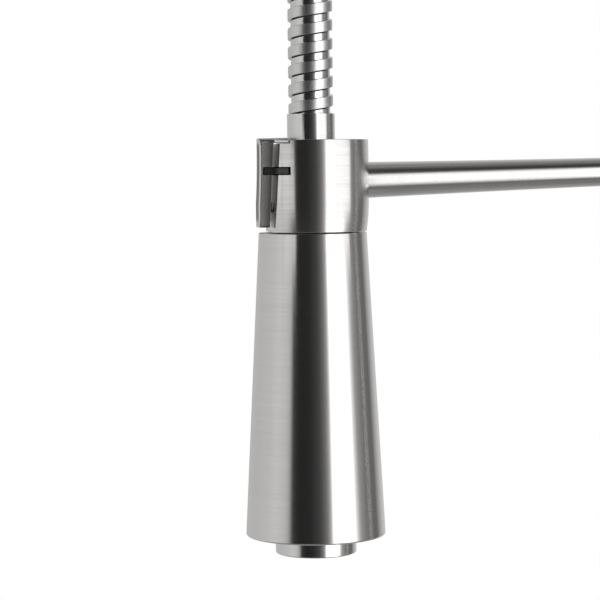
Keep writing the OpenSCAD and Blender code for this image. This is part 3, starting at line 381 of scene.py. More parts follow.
# The slanted flat behind the paddle, and how near to the axis the saw cut goes
FLAT_X, SLOT_X = 13.6, 9.9
FLAT_TILT = math.radians(3.1)
FLAT_AWAY = (-math.cos(FLAT_TILT), 0, math.sin(FLAT_TILT))
SAW_HALF, SEAT_DEPTH = 1.4, 1.3
BUSH_R, BUSH_SEAT_R = 10.3, 11.38


def make_collar():
    """The turned shell, with its flat, the seat of the paddle's wing, the saw cut and the room in
    which the plate slides."""
    bush, under = SLOT - 2.6, COLLAR_TOP - 5
    outline = ([(15, COLLAR)] + collar_side()
               + [(NECK_R, COLLAR_TOP, 0.3), (NECK_R, under), (BUSH_R, under), (BUSH_R, bush),
                  (BUSH_SEAT_R, bush), (BUSH_SEAT_R, COLLAR, 0.2), (15, COLLAR)])
    piece = turned("collar_shell", outline, SPRAY_X, 180)
    slice_off(piece, (SPRAY_X - FLAT_X, 0, SLOT), FLAT_AWAY)
    seat = COLLAR_TOP - SEAT_DEPTH
    far, near = SPRAY_X - 40, SPRAY_X - SLOT_X
    cut(piece, block("wing_seat", (far, -30, seat), (near, 30, COLLAR_TOP + 5)))
    flat = SPRAY_X - 12.6
    rounded(piece, lambda at: at.x < flat and COLLAR + 1 < at.z < seat - 1, 0.5, 4)
    rounded(piece, lambda at: at.x < flat and abs(at.z - seat) < 0.2, 0.45, 4)
    finish_with(piece, "BEVEL", width=0.14 * MM, segments=2, limit_method="ANGLE",
                angle_limit=math.radians(40), use_clamp_overlap=True)
    cut(piece,
        block("saw_cut", (far, -30, SLOT - SAW_HALF), (near, 30, SLOT + SAW_HALF)),
        rod("plate_pocket", 13.65, 2 * SAW_HALF, upright(SPRAY_X + 0.5, 0, SLOT)))
    return smooth(piece, 40)


def rounded(piece, chosen, width, segments):
    """Rounds the sharp edges whose middle passes the test."""
    edit(piece, "DESELECT")
    bpy.ops.mesh.select_mode(type="EDGE")
    bpy.ops.mesh.edges_select_sharp(sharpness=math.radians(35))
    leave()
    corners = piece.data.vertices
    for edge in piece.data.edges:
        middle = (corners[edge.vertices[0]].co + corners[edge.vertices[1]].co) / 2 / MM
        edge.select = edge.select and chosen(middle)
    bpy.ops.object.mode_set(mode="EDIT")
    bpy.ops.mesh.bevel(offset=width * MM, segments=segments, affect="EDGES", clamp_overlap=True)
    bpy.ops.mesh.select_mode(type="VERT")
    leave()
    return piece


def sawn(name, outline, across, half):
    """A shape drawn in the upright plane and sawn from stock twice as thick as half."""
    piece = drawn(outline + outline[:1], across)
    bpy.ops.mesh.select_all(action="SELECT")
    bpy.ops.mesh.remove_doubles(threshold=TOUCH)
    bpy.ops.mesh.edge_face_add()
    bpy.ops.transform.translate(value=(0, -half * MM, 0))
    bpy.ops.mesh.extrude_region_move(TRANSFORM_OT_translate={"value": (0, 2 * half * MM, 0)})
    bpy.ops.mesh.select_all(action="SELECT")
    bpy.ops.mesh.normals_make_consistent(inside=False)
    leave()
    return settle(piece, name)


def weighted(piece, choice):
    """Gives each edge the share of the bevel that choice returns for its two ends."""
    weights = piece.data.attributes.new("bevel_weight_edge", "FLOAT", "EDGE")
    corners = piece.data.vertices
    for edge in piece.data.edges:
        weights.data[edge.index].value = choice(*(corners[v].co / MM for v in edge.vertices))


def make_plate():
    """The plate with the rib behind that guides it in the saw cut."""
    low, high = SLOT - 1.35, SLOT + 1.35
    piece = softened("plate", "latch_plate", 0.12)
    joined(piece, block("rib", (SPRAY_X - 13.3, 3.2, low), (SPRAY_X - 10.8, 9, high)))
    return joined(piece, block("rib_end", (SPRAY_X - 14.6, 4.1, low), (SPRAY_X - 12, 9, high)))


PADDLE_FOOT, PADDLE_TOP = COLLAR + 1.6, COLLAR_TOP + 0.7
PADDLE_HALF, PADDLE_GAP = 4.0, 0.7
WING_R, WING_THICK = 19, 1.6


def make_paddle():
    """The thumb paddle: dished in front, parallel to the collar's flat behind, with the thin wing
    that lies on the collar and the notch into which the plate goes."""
    low = PADDLE_FOOT

    def back(z):
        return -FLAT_X - PADDLE_GAP + (z - SLOT) * math.tan(FLAT_TILT)

    def dish(z):
        return max(-18.7 - (z - COLLAR - 0.86 * COLLAR_H) ** 2 / 600, -19.2)

    rows = [low, low + 2.6] + [low + 5 + 3 * i for i in range(8)] + [PADDLE_TOP - 2.6, PADDLE_TOP]
    outline = ([(dish(z), z) for z in rows]
               + [(back(PADDLE_TOP), PADDLE_TOP), (back(low), low)])
    piece = sawn("thumb_paddle", outline, SPRAY_X, PADDLE_HALF)

    def share(a, b):
        """How round the edge between two corners becomes: 1 at the top, less at the sides."""
        crosses = abs(a.y - b.y) > 1
        at_foot = a.z < low + 0.01 and b.z < low + 0.01
        at_top = all(abs(end.z - PADDLE_TOP) < 0.01 for end in (a, b))
        if crosses:
            return 0.2 if min(abs(a.z - z) for z in (low, PADDLE_TOP)) < 0.01 else 0
        if at_top:
            return 1
        return 0.5 if (a.x + b.x) / 2 < SPRAY_X - 17 or at_foot else 0.1

    weighted(piece, share)
    finish_with(piece, "BEVEL", width=1.7 * MM, segments=6, limit_method="WEIGHT",
                use_clamp_overlap=True)
    under = PADDLE_TOP - WING_THICK
    wing = turned("wing", [(0, under), (WING_R, under, 0.1), (WING_R, PADDLE_TOP, 1.25),
                           (0, PADDLE_TOP)], SPRAY_X, 240, 7)
    slice_off(wing, (SPRAY_X - SLOT_X - 0.6, 0, 0), (1, 0, 0))
    slice_off(wing, (SPRAY_X - 14.6, 0, 0), (-1, 0, 0))
    joined(piece, wing)
    cut(piece, block("notch", (SPRAY_X - 17.6, -9, SLOT - SAW_HALF),
                     (SPRAY_X, 3.05, SLOT + SAW_HALF)))
    return smooth(piece, 35)


# Hose: up out of the riser's ferrule, over the arch and down into the spray head's
LEAN = 0.2
HALF_SPAN = 105.0
ARCH_R = HALF_SPAN + LEAN / 2
ARCH = FERRULE_TOP + HALF_SPAN
END_GAP = 0.2
LEG_UP = ARCH - UPPER_FERRULE - END_GAP
HOSE_LEN = LEG_UP + math.pi * ARCH_R + ARCH - FERRULE - END_GAP
RIBS_START = UPPER_TOP - UPPER_FERRULE - END_GAP
RIBS_END = HOSE_LEN - (FERRULE_TOP - FERRULE - END_GAP)
TURNS = 75
WINDING = (RIBS_END - RIBS_START) / TURNS
# One turn of the hose's skin: the raised band, the deep groove beside it and the sunk part, each
# corner as its share of the pitch and its radius
BAND_PROFILE = [(0.0, 7.62), (0.015, 7.65), (0.06, 7.66), (0.28, 7.68), (0.52, 7.66), (0.54, 7.63),
                (0.552, 7.54), (0.557, 7.35)]
GROOVE_PROFILE = [(0.56, 6.2), (0.612, 6.2)]
SUNK_PROFILE = [(0.616, 6.6), (0.63, 6.68), (0.78, 6.7), (0.93, 6.68), (0.965, 6.72), (0.972, 6.85),
                (0.978, 7.35), (0.988, 7.54), (1.0, 7.62)]
# Skin further out than the first radius is band, further in than the second is groove
BAND_FROM, GROOVE_TO = 7.5, 6.3


def over_arch(point):
    """The place of a point of the straight hose, once the hose is bent over its arch."""
    x, y, s = (v / MM for v in point)
    if s < LEG_UP:
        return (x * MM, y * MM, (UPPER_FERRULE + END_GAP + s) * MM)
    if s < LEG_UP + math.pi * ARCH_R:
        bend = (s - LEG_UP) / ARCH_R
        reach = ARCH_R + x
        across = reach * math.cos(bend) - ARCH_R
        return (across * MM, y * MM, (ARCH + reach * math.sin(bend)) * MM)
    return ((SPRAY_X - LEAN - x) * MM, y * MM, (ARCH - (s - LEG_UP - math.pi * ARCH_R)) * MM)


def make_hose():
    """The hose is wound straight, a little way into each ferrule, and bent over the arch. The last
    band begins about half a pitch before the lower ferrule."""
    first, last = RIBS_START - 0.9, RIBS_END + 0.9
    edge = RIBS_END - 0.51 * WINDING
    profile = BAND_PROFILE + GROOVE_PROFILE + SUNK_PROFILE
    piece = wound("hose_winding", profile, WINDING, first, last, 56, (first - edge) / WINDING)
    # The groove's floor wears the black rubber of the inner hose, seen through the gap between the
    # strips. It is made that dark to stand for the shade in the gap under each band, so it is
    # partly painted shade.
    for face in piece.data.polygons:
        depth = face.center.xy.length / MM
        face.material_index = 1 if depth > BAND_FROM else 2 if depth < GROOVE_TO else 0
    for corner in piece.data.vertices:
        corner.co = over_arch(corner.co)
    return smooth(piece, 42)


def make_ferrule(name, low, high, across):
    """A plain sleeve over the hose's end, with a thin lip at its upper edge."""
    lip = 1.0
    outline = [(7.8, low), (8.2, low, 0.2), (8.2, high, 0.1), (8.04, high), (8.04, high - lip),
               (7.25, high - lip), (7.25, low), (7.8, low)]
    return smooth(turned(name, outline, across, 144))


# Arm and riser: the arm is thickest at the collar
ARM_R, ARM_SWELL, SWELL_LENGTH = 4.4, 1.8, 190.6
RISER_R, RISER_BORE = 12.5, 11
FITTING_BORE = 2.8


def make_arm():
    """The arm from inside the collar's wall to the ring on the riser, with an eased edge where it
    meets the collar."""
    root, end = 15.45, 210 / math.cos(ARM_RISE) - 17.5 - 14
    side = []
    for i in range(25):
        along = root + (end - root) * i / 24
        side.append((ARM_R + ARM_SWELL * (1 - (along - COLLAR_R) / SWELL_LENGTH) ** 2, along))
    piece = turned("arm_rod", [(0, root)] + side + [(ARM_R, end + 9), (0, end + 9)], 0.0, 128)
    put(piece, along_arm())
    cut(piece, collar_blank("collar_room", 180))
    edit(piece, "DESELECT")
    leave()
    centre = Vector((SPRAY_X * MM, 0, ARM * MM))
    for edge in piece.data.edges:
        ends = [piece.data.vertices[v].co - centre for v in edge.vertices]
        on_skin = all(abs(e.xy.length - COLLAR_R * MM) < 0.12 * MM for e in ends)
        edge.select = on_skin and all(e.yz.length > 5.2 * MM for e in ends)
    bpy.ops.object.mode_set(mode="EDIT")
    bpy.ops.mesh.bevel(offset=0.3 * MM, segments=3, affect="EDGES", clamp_overlap=True)
    leave()
    return smooth(piece, 35)


def make_riser():
    """The column's tube."""
    low, high = RISER, RISER_TOP
    outline = [(12, low), (RISER_R, low, 0.15), (RISER_R, high, 0.2), (RISER_BORE, high),
               (RISER_BORE, low), (12, low)]
    return smooth(turned("riser_pipe", outline, 0.0, 160))


def make_union():
    """The fitting in the riser's top: ring groove below, cone above, barb for the inner hose."""
    z = RISER_TOP
    outline = [(FITTING_BORE, z - 14), (RISER_BORE, z - 14), (RISER_BORE, z - 8), (9, z - 8),
               (9, z - 5.8), (RISER_BORE, z - 5.8), (RISER_BORE, z), (RISER_R, z, 0.2),
               (RISER_R, z + 1.5, 0.5), (8.7, z + 7.2, 0.5), (8.7, z + 8, 0.2), (3.95, z + 8),
               (3.95, z + 20), (FITTING_BORE, z + 20), (FITTING_BORE, z - 14)]
    return smooth(turned("hose_fitting", outline, 0.0, 144))


def make_swivel():
    """The swivel ring on the body, with the stub that holds the riser above and the
    spigot below."""
    z = BODY_TOP + 0.3
    low, shoulder = BODY_TOP - 33, z + 7
    outline = [(8, low), (14, low), (14, z), (24, z, 0.35), (24, shoulder, 1.5), (12.6, shoulder),
               (11, shoulder), (11, z + 29), (8, z + 29), (8, low)]
    return smooth(turned("swivel_ring", outline, 0.0, 160))


# Base
BODY_R, SOCKET_R = 24, 14.05
BOSS_R, HUB_R, DOME_R = 22.5, 22, 20
# How far the cartridge's middle, which is the dome's middle too, lies out along the lever's axis
DOME_OUT = 34.5
HUB_BACK, HUB_FRONT = 44.5, 66.5
LEVER_OUT, LEVER_LENGTH = 60.5, 85
THREAD_R, CORE_R, SHANK_R, SHANK_BORE = 15.2, 14.5, 16, 12.5
SHANK_FOOT, PLAIN_FOOT, THREAD_PITCH = -62, -30.5, 2


def make_body():
    """The upright shell with its socket and inlet room, and the boss that carries the cartridge."""
    h, foot_r = BODY_TOP, 14.55
    outline = [(foot_r, BODY), (BODY_R, BODY, 0.3), (BODY_R, h, 0.35), (SOCKET_R, h, 0.2),
               (SOCKET_R, h - 34), (3, h - 34), (3, BODY + 12), (foot_r, BODY + 12), (foot_r, BODY)]
    piece = turned("body_shell", outline, 0.0, 180)
    boss = turned("boss", [(0, 12), (BOSS_R, 12), (BOSS_R, 33, 0.4), (18.6, 33, 0.2), (18.6, 27),
                           (0, 27)], 0.0, 160)
    put(boss, along_lever())
    cut(boss, rod("bore_room", SOCKET_R, 60, upright(0, 0, LEVER)))
    joined(piece, boss)
    across = upright(0, 24, h - 8) @ Matrix.Rotation(math.pi / 2, 4, "X")
    cut(piece, rod("lock_hole", 2.5, 10, across, 48))
    return eased(piece, 0.3, 3, 40)


def make_dome():
    """The thin cap over the cartridge's nut, a part of a ball."""
    first, last = -4.3, 56.6

    def around(radius, degrees):
        angle = math.radians(degrees)
        return (radius * math.cos(angle), DOME_OUT + radius * math.sin(angle))

    outside = [around(DOME_R, first + (last - first) * i / 32) for i in range(33)]
    inside = [around(DOME_R - 1.5, degrees) for degrees in (53, 40, 25, 10, first)]
    piece = turned("dome_cover", outside + inside + [outside[0]], 0.0, 144)
    return smooth(put(piece, along_lever()), 40)


def make_hub():
    """The round hub: hollowed behind to clear the dome, with the hole of the screw's plug."""
    depths = (HUB_BACK, 47, 49.5, 52, 54, 54.8)
    bowl = [(math.sqrt(20.6 ** 2 - (z - DOME_OUT) ** 2), z) for z in depths]
    outline = ([(20.2, HUB_BACK), (HUB_R, HUB_BACK, 0.4), (HUB_R, HUB_FRONT, 1.2), (0, HUB_FRONT),
                (0, 54.9)] + bowl[::-1] + [(20.2, HUB_BACK)])
    piece = turned("lever_drum", outline, 0.0, 160)
    put(piece, along_lever())
    cut(piece, rod("plug_hole", 2.75, 6, upright(0, -LEVER_OUT, LEVER - HUB_R), 48))
    return eased(piece, 0.12, 2, 50)


def make_lever():
    """The rod that stands in the hub, a little thinner towards its rounded end."""
    z = LEVER + HUB_R
    end = z + LEVER_LENGTH
    outline = [(0, z - 8), (3.5, z - 8), (3.5, z + 0.05), (4.5, z + 0.05, 0.3), (3.3, end, 3.0),
               (0, end)]
    piece = turned("lever_handle", outline, 0.0, 96, 8)
    return smooth(put(piece, upright(0, -LEVER_OUT, 0)), 35)


def make_flange():
    """The turned plate on the deck, a little above it for the seal."""
    z, bore, low = BODY, 14.6, 0.5
    outline = [(16, low), (28.8, low, 0.3), (29, 2.8, 0.8), (27.6, 4.8, 1.6), (25.4, z, 0.3),
               (bore, z), (bore, 1.5), (16, 1.5), (16, low)]
    return smooth(turned("deck_plate", outline, 0.0, 180))


def make_shank():
    """The tube under its wide plain top, with one ridge wound about it as the thread."""
    outline = [(13.5, SHANK_FOOT), (CORE_R, SHANK_FOOT, 0.3), (CORE_R, PLAIN_FOOT),
               (SHANK_R, PLAIN_FOOT, 0.3), (SHANK_R, 0), (CORE_R, 0), (CORE_R, 20),
               (SHANK_BORE, 20), (SHANK_BORE, SHANK_FOOT, 0.2), (13.5, SHANK_FOOT)]
    piece = turned("shank_tube", outline, 0.0, 96)
    root, foot_z = 14.3, -61.9
    thread = drawn([(root, foot_z), (THREAD_R, foot_z + 0.7), (THREAD_R, foot_z + 1.0),
                    (root, foot_z + 1.8), (root, foot_z)])
    bpy.ops.mesh.select_all(action="SELECT")
    bpy.ops.mesh.remove_doubles(threshold=TOUCH)
    leave()
    settle(thread, "thread")
    finish_with(thread, "SCREW", axis="Z", angle=2 * math.pi, screw_offset=THREAD_PITCH * MM,
                iterations=14, steps=72, render_steps=72, use_merge_vertices=False)
    edit(thread)
    bpy.ops.mesh.fill_holes(sides=6)
    bpy.ops.mesh.select_all(action="SELECT")
    bpy.ops.mesh.normals_make_consistent(inside=False)
    leave()
    only(piece)
    thread.select_set(True)
    bpy.ops.object.join()
    return smooth(piece, 30)


# Materials
def link(tree, start, end):
    tree.links.new(start, end)


def new_group(name, inputs, outputs):
    tree = bpy.data.node_groups.new(name, "ShaderNodeTree")
    for label, kind, value in inputs:
        socket = tree.interface.new_socket(name=label, in_out="INPUT", socket_type=kind)
        if value is not None:
            socket.default_value = value
    for label, kind in outputs:
        tree.interface.new_socket(name=label, in_out="OUTPUT", socket_type=kind)
    return tree, tree.nodes.new("NodeGroupInput"), tree.nodes.new("NodeGroupOutput")


def maths(tree, how, a, b=None, c=None, clamp=False):
    """A sum on values or on the outputs of other nodes."""
    node = tree.nodes.new("ShaderNodeMath")
    node.operation = how
    node.use_clamp = clamp
    for socket, value in zip(node.inputs, (a, b, c)):
        if isinstance(value, (int, float)):
            socket.default_value = value
        elif value is not None:
            link(tree, value, socket)
    return node.outputs[0]


def noise(tree, vector, scale, detail=3.0, rough=0.55):
    """A cloud of values about one half, scale of them to the metre."""
    node = tree.nodes.new("ShaderNodeTexNoise")
    node.inputs["Scale"].default_value = scale
    node.inputs["Detail"].default_value = detail
    node.inputs["Roughness"].default_value = rough
    link(tree, vector, node.inputs["Vector"])
    return node.outputs["Fac"]


FLOAT, VECTOR = "NodeSocketFloat", "NodeSocketVector"


def make_brush_marks():
    """Fine marks drawn out along one direction: the vector comes in already stretched."""
    tree, into, out = new_group("brush_marks", [("Vector", VECTOR, None), ("Fine", FLOAT, 0.5)],
                                [("Height", FLOAT), ("Streak", FLOAT)])
    wide = noise(tree, into.outputs["Vector"], 0.35, 2.0)
    middle = noise(tree, into.outputs["Vector"], 1.0, 4.0, 0.6)
    fine = noise(tree, into.outputs["Vector"], 4.2, 3.0, 0.65)
    mixed = maths(tree, "MULTIPLY_ADD", fine, into.outputs["Fine"], middle)
    link(tree, mixed, out.inputs["Height"])
    streak = maths(tree, "MULTIPLY_ADD", wide, 0.8, middle)
    streak = maths(tree, "MULTIPLY_ADD", streak, 1.6, -0.94, clamp=True)
    link(tree, streak, out.inputs["Streak"])
    return tree


def make_worn_edge():
    """1 on edges that hands and cloths have rubbed, 0 elsewhere."""
    tree, into, out = new_group("worn_edge", [("Vector", VECTOR, None), ("Sharpness", FLOAT, 9.0)],
                                [("Mask", FLOAT)])
    shape = tree.nodes.new("ShaderNodeNewGeometry")
    bend = maths(tree, "SUBTRACT", shape.outputs["Pointiness"], 0.515)
    bend = maths(tree, "MULTIPLY", bend, into.outputs["Sharpness"], clamp=True)
    patch = noise(tree, into.outputs["Vector"], 260.0, 3.0)
    mask = maths(tree, "MULTIPLY", bend, maths(tree, "ADD", patch, 0.35), clamp=True)
    link(tree, mask, out.inputs["Mask"])
    return tree


def make_hand_marks():
    """Broad soft patches where the surface has been wiped and touched."""
    tree, into, out = new_group("hand_marks", [("Vector", VECTOR, None), ("Amount", FLOAT, 1.0)],
                                [("Mask", FLOAT)])
    broad = noise(tree, into.outputs["Vector"], 34.0, 3.0, 0.6)
    small = noise(tree, into.outputs["Vector"], 420.0, 4.0, 0.7)
    mask = maths(tree, "MULTIPLY_ADD", small, 0.35, broad)
    mask = maths(tree, "MULTIPLY_ADD", mask, 2.2, -1.25, clamp=True)
    link(tree, maths(tree, "MULTIPLY", mask, into.outputs["Amount"]), out.inputs["Mask"])
    return tree


def make_pores():
    """Fine moulded or cast skin."""
    tree, into, out = new_group("skin_pores", [("Vector", VECTOR, None), ("Scale", FLOAT, 1800.0)],
                                [("Height", FLOAT), ("Cloud", FLOAT)])
    node = tree.nodes.new("ShaderNodeTexNoise")
    node.inputs["Detail"].default_value = 3.0
    link(tree, into.outputs["Vector"], node.inputs["Vector"])
    link(tree, into.outputs["Scale"], node.inputs["Scale"])
    link(tree, node.outputs["Fac"], out.inputs["Height"])
    link(tree, noise(tree, into.outputs["Vector"], 60.0, 3.0), out.inputs["Cloud"])
    return tree


GROUPS = {"brush": make_brush_marks(), "edge": make_worn_edge(), "hand": make_hand_marks(),
          "pores": make_pores()}


def placed_group(tree, kind, vector, **values):
    """One of the groups in a material, with the material's own values."""
    node = tree.nodes.new("ShaderNodeGroup")
    node.node_tree = GROUPS[kind]
    link(tree, vector, node.inputs["Vector"])
    for label, value in values.items():
        node.inputs[label].default_value = value
    return node.outputs


def blank_material(name):
    """A material with its shader, and the place on the object that its patterns read."""
    finish = bpy.data.materials.new(name)
    finish.use_nodes = True
    tree = finish.node_tree
    tree.nodes.clear()
    out = tree.nodes.new("ShaderNodeOutputMaterial")
    shader = tree.nodes.new("ShaderNodeBsdfPrincipled")
    place = tree.nodes.new("ShaderNodeTexCoord")
    link(tree, shader.outputs[0], out.inputs[0])
    return finish, tree, shader, place.outputs["Object"]


def between(tree, mask, low, high):
    """A value that goes from low to high with the mask."""
    return maths(tree, "MULTIPLY_ADD", mask, high - low, low)


def tinted(tree, mask, first, second):
    """A colour that goes from the first to the second with the mask."""
    node = tree.nodes.new("ShaderNodeMix")
    node.data_type = "RGBA"
    if isinstance(mask, (int, float)):
        node.inputs["Factor"].default_value = mask
    else:
        link(tree, mask, node.inputs["Factor"])
    for label, value in (("A", first), ("B", second)):
        socket = [s for s in node.inputs if s.name == label and s.type == "RGBA"][0]
        if isinstance(value, tuple):
            socket.default_value = (*value, 1)
        else:
            link(tree, value, socket)
    return [s for s in node.outputs if s.type == "RGBA"][0]


def bumped(tree, shader, height, distance):
    """Gives a shader its fine relief, the distance deep in metres."""
    node = tree.nodes.new("ShaderNodeBump")
    node.inputs["Strength"].default_value = 1.0
    node.inputs["Distance"].default_value = distance
    link(tree, height, node.inputs["Height"])
    link(tree, node.outputs[0], shader.inputs["Normal"])


def metal(name, colour, stretch, rough, depth, spread, across=None, fine=0.5, shade=0.93):
    """Drawn or turned metal. Stretch gives the marks per metre along x, y and z, depth how deep
    they are in metres, and across the way in which they spread what the metal mirrors."""
    finish, tree, shader, place = blank_material(name)
    shader.inputs["Metallic"].default_value = 1.0
    if across:
        shader.inputs["Anisotropic"].default_value = 0.85
        way = tree.nodes.new("ShaderNodeCombineXYZ")
        for socket, value in zip(way.inputs, across):
            socket.default_value = value
        link(tree, way.outputs[0], shader.inputs["Tangent"])
    mapping = tree.nodes.new("ShaderNodeMapping")
    mapping.inputs["Scale"].default_value = stretch
    link(tree, place, mapping.inputs["Vector"])
    grain = placed_group(tree, "brush", mapping.outputs[0], Fine=fine)
    edge = placed_group(tree, "edge", place)
    hand = placed_group(tree, "hand", place, Amount=0.6)
    darker = tuple(v * shade for v in colour)
    base = tinted(tree, grain["Streak"], darker, colour)
    base = tinted(tree, edge["Mask"], base, tuple(min(1.0, v * 1.12) for v in colour))
    link(tree, base, shader.inputs["Base Color"])
    shine = between(tree, grain["Streak"], rough + spread, rough - spread * 0.5)
    shine = maths(tree, "MULTIPLY_ADD", hand["Mask"], spread * 1.2, shine)
    shine = maths(tree, "MULTIPLY_ADD", edge["Mask"], -0.05, shine, clamp=True)
    link(tree, shine, shader.inputs["Roughness"])
    bumped(tree, shader, grain["Height"], depth)
    return finish


def moulded(name, colour, rough, pores, depth, level=0.5, dust=(0.5, 0.5, 0.5), amount=0.05):
    """Plastic, rubber or fired clay with a fine skin and a trace of dust."""
    finish, tree, shader, place = blank_material(name)
    shader.inputs["Specular IOR Level"].default_value = level
    skin = placed_group(tree, "pores", place, Scale=pores)
    edge = placed_group(tree, "edge", place)
    hand = placed_group(tree, "hand", place)
    base = tinted(tree, maths(tree, "MULTIPLY", hand["Mask"], amount), colour, dust)
    base = tinted(tree, maths(tree, "MULTIPLY", edge["Mask"], 0.25), base,
                  tuple(v + (1 - v) * 0.12 for v in colour))
    link(tree, base, shader.inputs["Base Color"])
    shine = between(tree, skin["Cloud"], rough + 0.06, rough - 0.06)
    shine = maths(tree, "MULTIPLY_ADD", hand["Mask"], 0.06, shine, clamp=True)
    link(tree, shine, shader.inputs["Roughness"])
    bumped(tree, shader, skin["Height"], depth)
    return finish


STEEL, BRIGHT_STEEL = (0.672, 0.66, 0.648), (0.68, 0.675, 0.67)
UP, ALONG = (0, 0, 1), (1, 0, 0)
METALS = {
    "collar_steel": dict(colour=STEEL, stretch=(26, 26, 1400), rough=0.22, depth=0.30e-6,
                         spread=0.04, across=UP, fine=0.7, shade=0.90),
    "cone_steel": dict(colour=STEEL, stretch=(20, 20, 1500), rough=0.20, depth=0.22e-6,
                       spread=0.03, across=UP, fine=0.4, shade=0.95),
    "paddle_steel": dict(colour=STEEL, stretch=(1200, 1200, 24), rough=0.22, depth=0.30e-6,
                         spread=0.04, shade=0.92),
    "arm_steel": dict(colour=STEEL, stretch=(1500, 30, 30), rough=0.20, depth=0.25e-6,
                      spread=0.03, across=ALONG, shade=0.94),
    "brushed_steel": dict(colour=STEEL, stretch=(24, 24, 1400), rough=0.22, depth=0.30e-6,
                          spread=0.04, across=UP, shade=0.92),
    "lever_steel": dict(colour=STEEL, stretch=(1400, 24, 1400), rough=0.22, depth=0.30e-6,
                        spread=0.04, shade=0.94),
    "polished_steel": dict(colour=BRIGHT_STEEL, stretch=(60, 60, 900), rough=0.15, depth=0.15e-6,
                           spread=0.03, across=UP, fine=0.3, shade=0.96),
    "hose_steel": dict(colour=BRIGHT_STEEL, stretch=(700, 700, 60), rough=0.14, depth=0.5e-6,
                       spread=0.03, fine=0.4, shade=0.93),
    "band_steel": dict(colour=BRIGHT_STEEL, stretch=(1500, 1500, 60), rough=0.32, depth=2.0e-6,
                       spread=0.05, fine=0.6, shade=0.90),
    "fastener_steel": dict(colour=(0.56, 0.555, 0.55), stretch=(300, 300, 900), rough=0.30,
                           depth=1.5e-6, spread=0.06, shade=0.86),
    "brass": dict(colour=(0.72, 0.53, 0.25), stretch=(60, 60, 1200), rough=0.28, depth=1.5e-6,
                  spread=0.05, shade=0.86),
}
MOULDED = {
    "black_plastic": dict(colour=(0.022, 0.023, 0.025), rough=0.42, pores=2200, depth=2e-6,
                          level=0.45),
    "grey_plastic": dict(colour=(0.30, 0.31, 0.325), rough=0.46, pores=1700, depth=2e-6),
    "white_plastic": dict(colour=(0.78, 0.78, 0.755), rough=0.40, pores=1700, depth=2e-6,
                          dust=(0.6, 0.58, 0.52)),
    "rubber": dict(colour=(0.026, 0.026, 0.027), rough=0.62, pores=1300, depth=5e-6, level=0.3,
                   amount=0.1),
    "ceramic": dict(colour=(0.80, 0.77, 0.70), rough=0.22, pores=900, depth=0.6e-6, level=0.6,
                    dust=(0.7, 0.65, 0.58)),
}
FINISH = {name: metal(name, **values) for name, values in METALS.items()}
FINISH.update({name: moulded(name, **values) for name, values in MOULDED.items()})


def wear(piece, *finishes):
    """Puts the finishes in the piece's own slots, in order."""
    slots = piece.data.materials
    for i, finish in enumerate(finishes):
        if i < len(slots):
            slots[i] = FINISH[finish]
        else:
            slots.append(FINISH[finish])


def dress(piece, finish, body, slot, *nodes):
    """Gives a piece its finishes and its moving body, if it has one, and hides the nodes that it
    stands for. The slot is not used."""
    wear(piece, *finish.split())
    if body:
        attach(piece, body)
    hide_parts(*nodes)
    return piece


for part in frame["record"]["subparts"]:
    wear(frame["nodes"][part["node"]], part["material_slot"])

dress(make_spray_cone(), "cone_steel", "spray_head", "brushed_steel", "spray_cone")
dress(make_aerator(), "polished_steel", "spray_head", "polished_steel", "aerator_housing")
dress(make_screen(), "fastener_steel", "spray_head", "fastener_steel", "aerator_screen")
dress(make_collar(), "collar_steel", "riser", "brushed_steel", "dock_collar")
dress(make_paddle(), "paddle_steel", "latch", "polished_steel", "latch_paddle")
dress(make_plate(), "black_plastic", "latch", "black_plastic", "latch_plate")
dress(make_ferrule("head_ferrule", FERRULE, FERRULE_TOP, SPRAY_X - LEAN),
      "polished_steel", "hose_end", "polished_steel", "lower_ferrule")
dress(make_ferrule("riser_ferrule", UPPER_FERRULE, UPPER_TOP, 0.0),
      "polished_steel", "riser", "polished_steel", "upper_ferrule")
# The third finish, rubber on the groove's floor, is partly painted shade in the gap under each
# band.
hose = dress(make_hose(), "hose_steel band_steel rubber", None, "hose_steel", "strip_wound_hose")
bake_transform(hose)
dress(make_arm(), "arm_steel", "riser", "brushed_steel", "support_arm")
dress(make_riser(), "brushed_steel", "riser", "brushed_steel", "riser_tube")
dress(make_union(), "brushed_steel", "riser", "brushed_steel", "hose_union")
dress(make_swivel(), "brushed_steel", "riser", "brushed_steel", "swivel_spigot")
dress(softened("arm_ring", "arm_clamp", 0.4, 3),
      "brushed_steel", "riser", "brushed_steel", "arm_clamp")
dress(softened("ring_screw", "clamp_screw", 0.2),
      "fastener_steel", "riser", "fastener_steel", "clamp_screw")
dress(make_body(), "brushed_steel", "base", "brushed_steel", "valve_body")
dress(make_dome(), "polished_steel", "base", "polished_steel", "dome_cap")
dress(make_hub(), "lever_steel", "lever", "polished_steel", "lever_hub")
dress(make_lever(), "lever_steel", "lever", "polished_steel", "lever_rod")
dress(make_flange(), "brushed_steel", "base", "brushed_steel", "deck_flange")
dress(make_shank(), "brass", "base", "brass", "mounting_shank")
dress(softened("back_nut", "mounting_nut", 0.5, 3), "brass", "base", "brass", "mounting_nut")
dress(softened("steel_washer", "clamp_washer", 0.3),
      "fastener_steel", "base", "fastener_steel", "clamp_washer")
dress(softened("jack_screws", "nut_screws", 0.3),
      "fastener_steel", "base", "fastener_steel", "nut_screws")


# Light
def ramp(tree, share, stops):
    """A strip of grey levels, each at its place from 0 to 1."""
    node = tree.nodes.new("ShaderNodeValToRGB")
    link(tree, share, node.inputs[0])
    elements = node.color_ramp.elements
    for i, (at, level) in enumerate(stops):
        stop = elements[i] if i < 2 else elements.new(at)
        stop.position = at
        stop.color = (level, level, level, 1)
    return node.outputs[0]


def panels_ramp(tree, share, panels):
    """A strip of named panels: each has its angle, from -180 to 180 degrees, and its brightness."""
    return ramp(tree, share, [((degrees + 180) / 360, level) for name, degrees, level in panels])


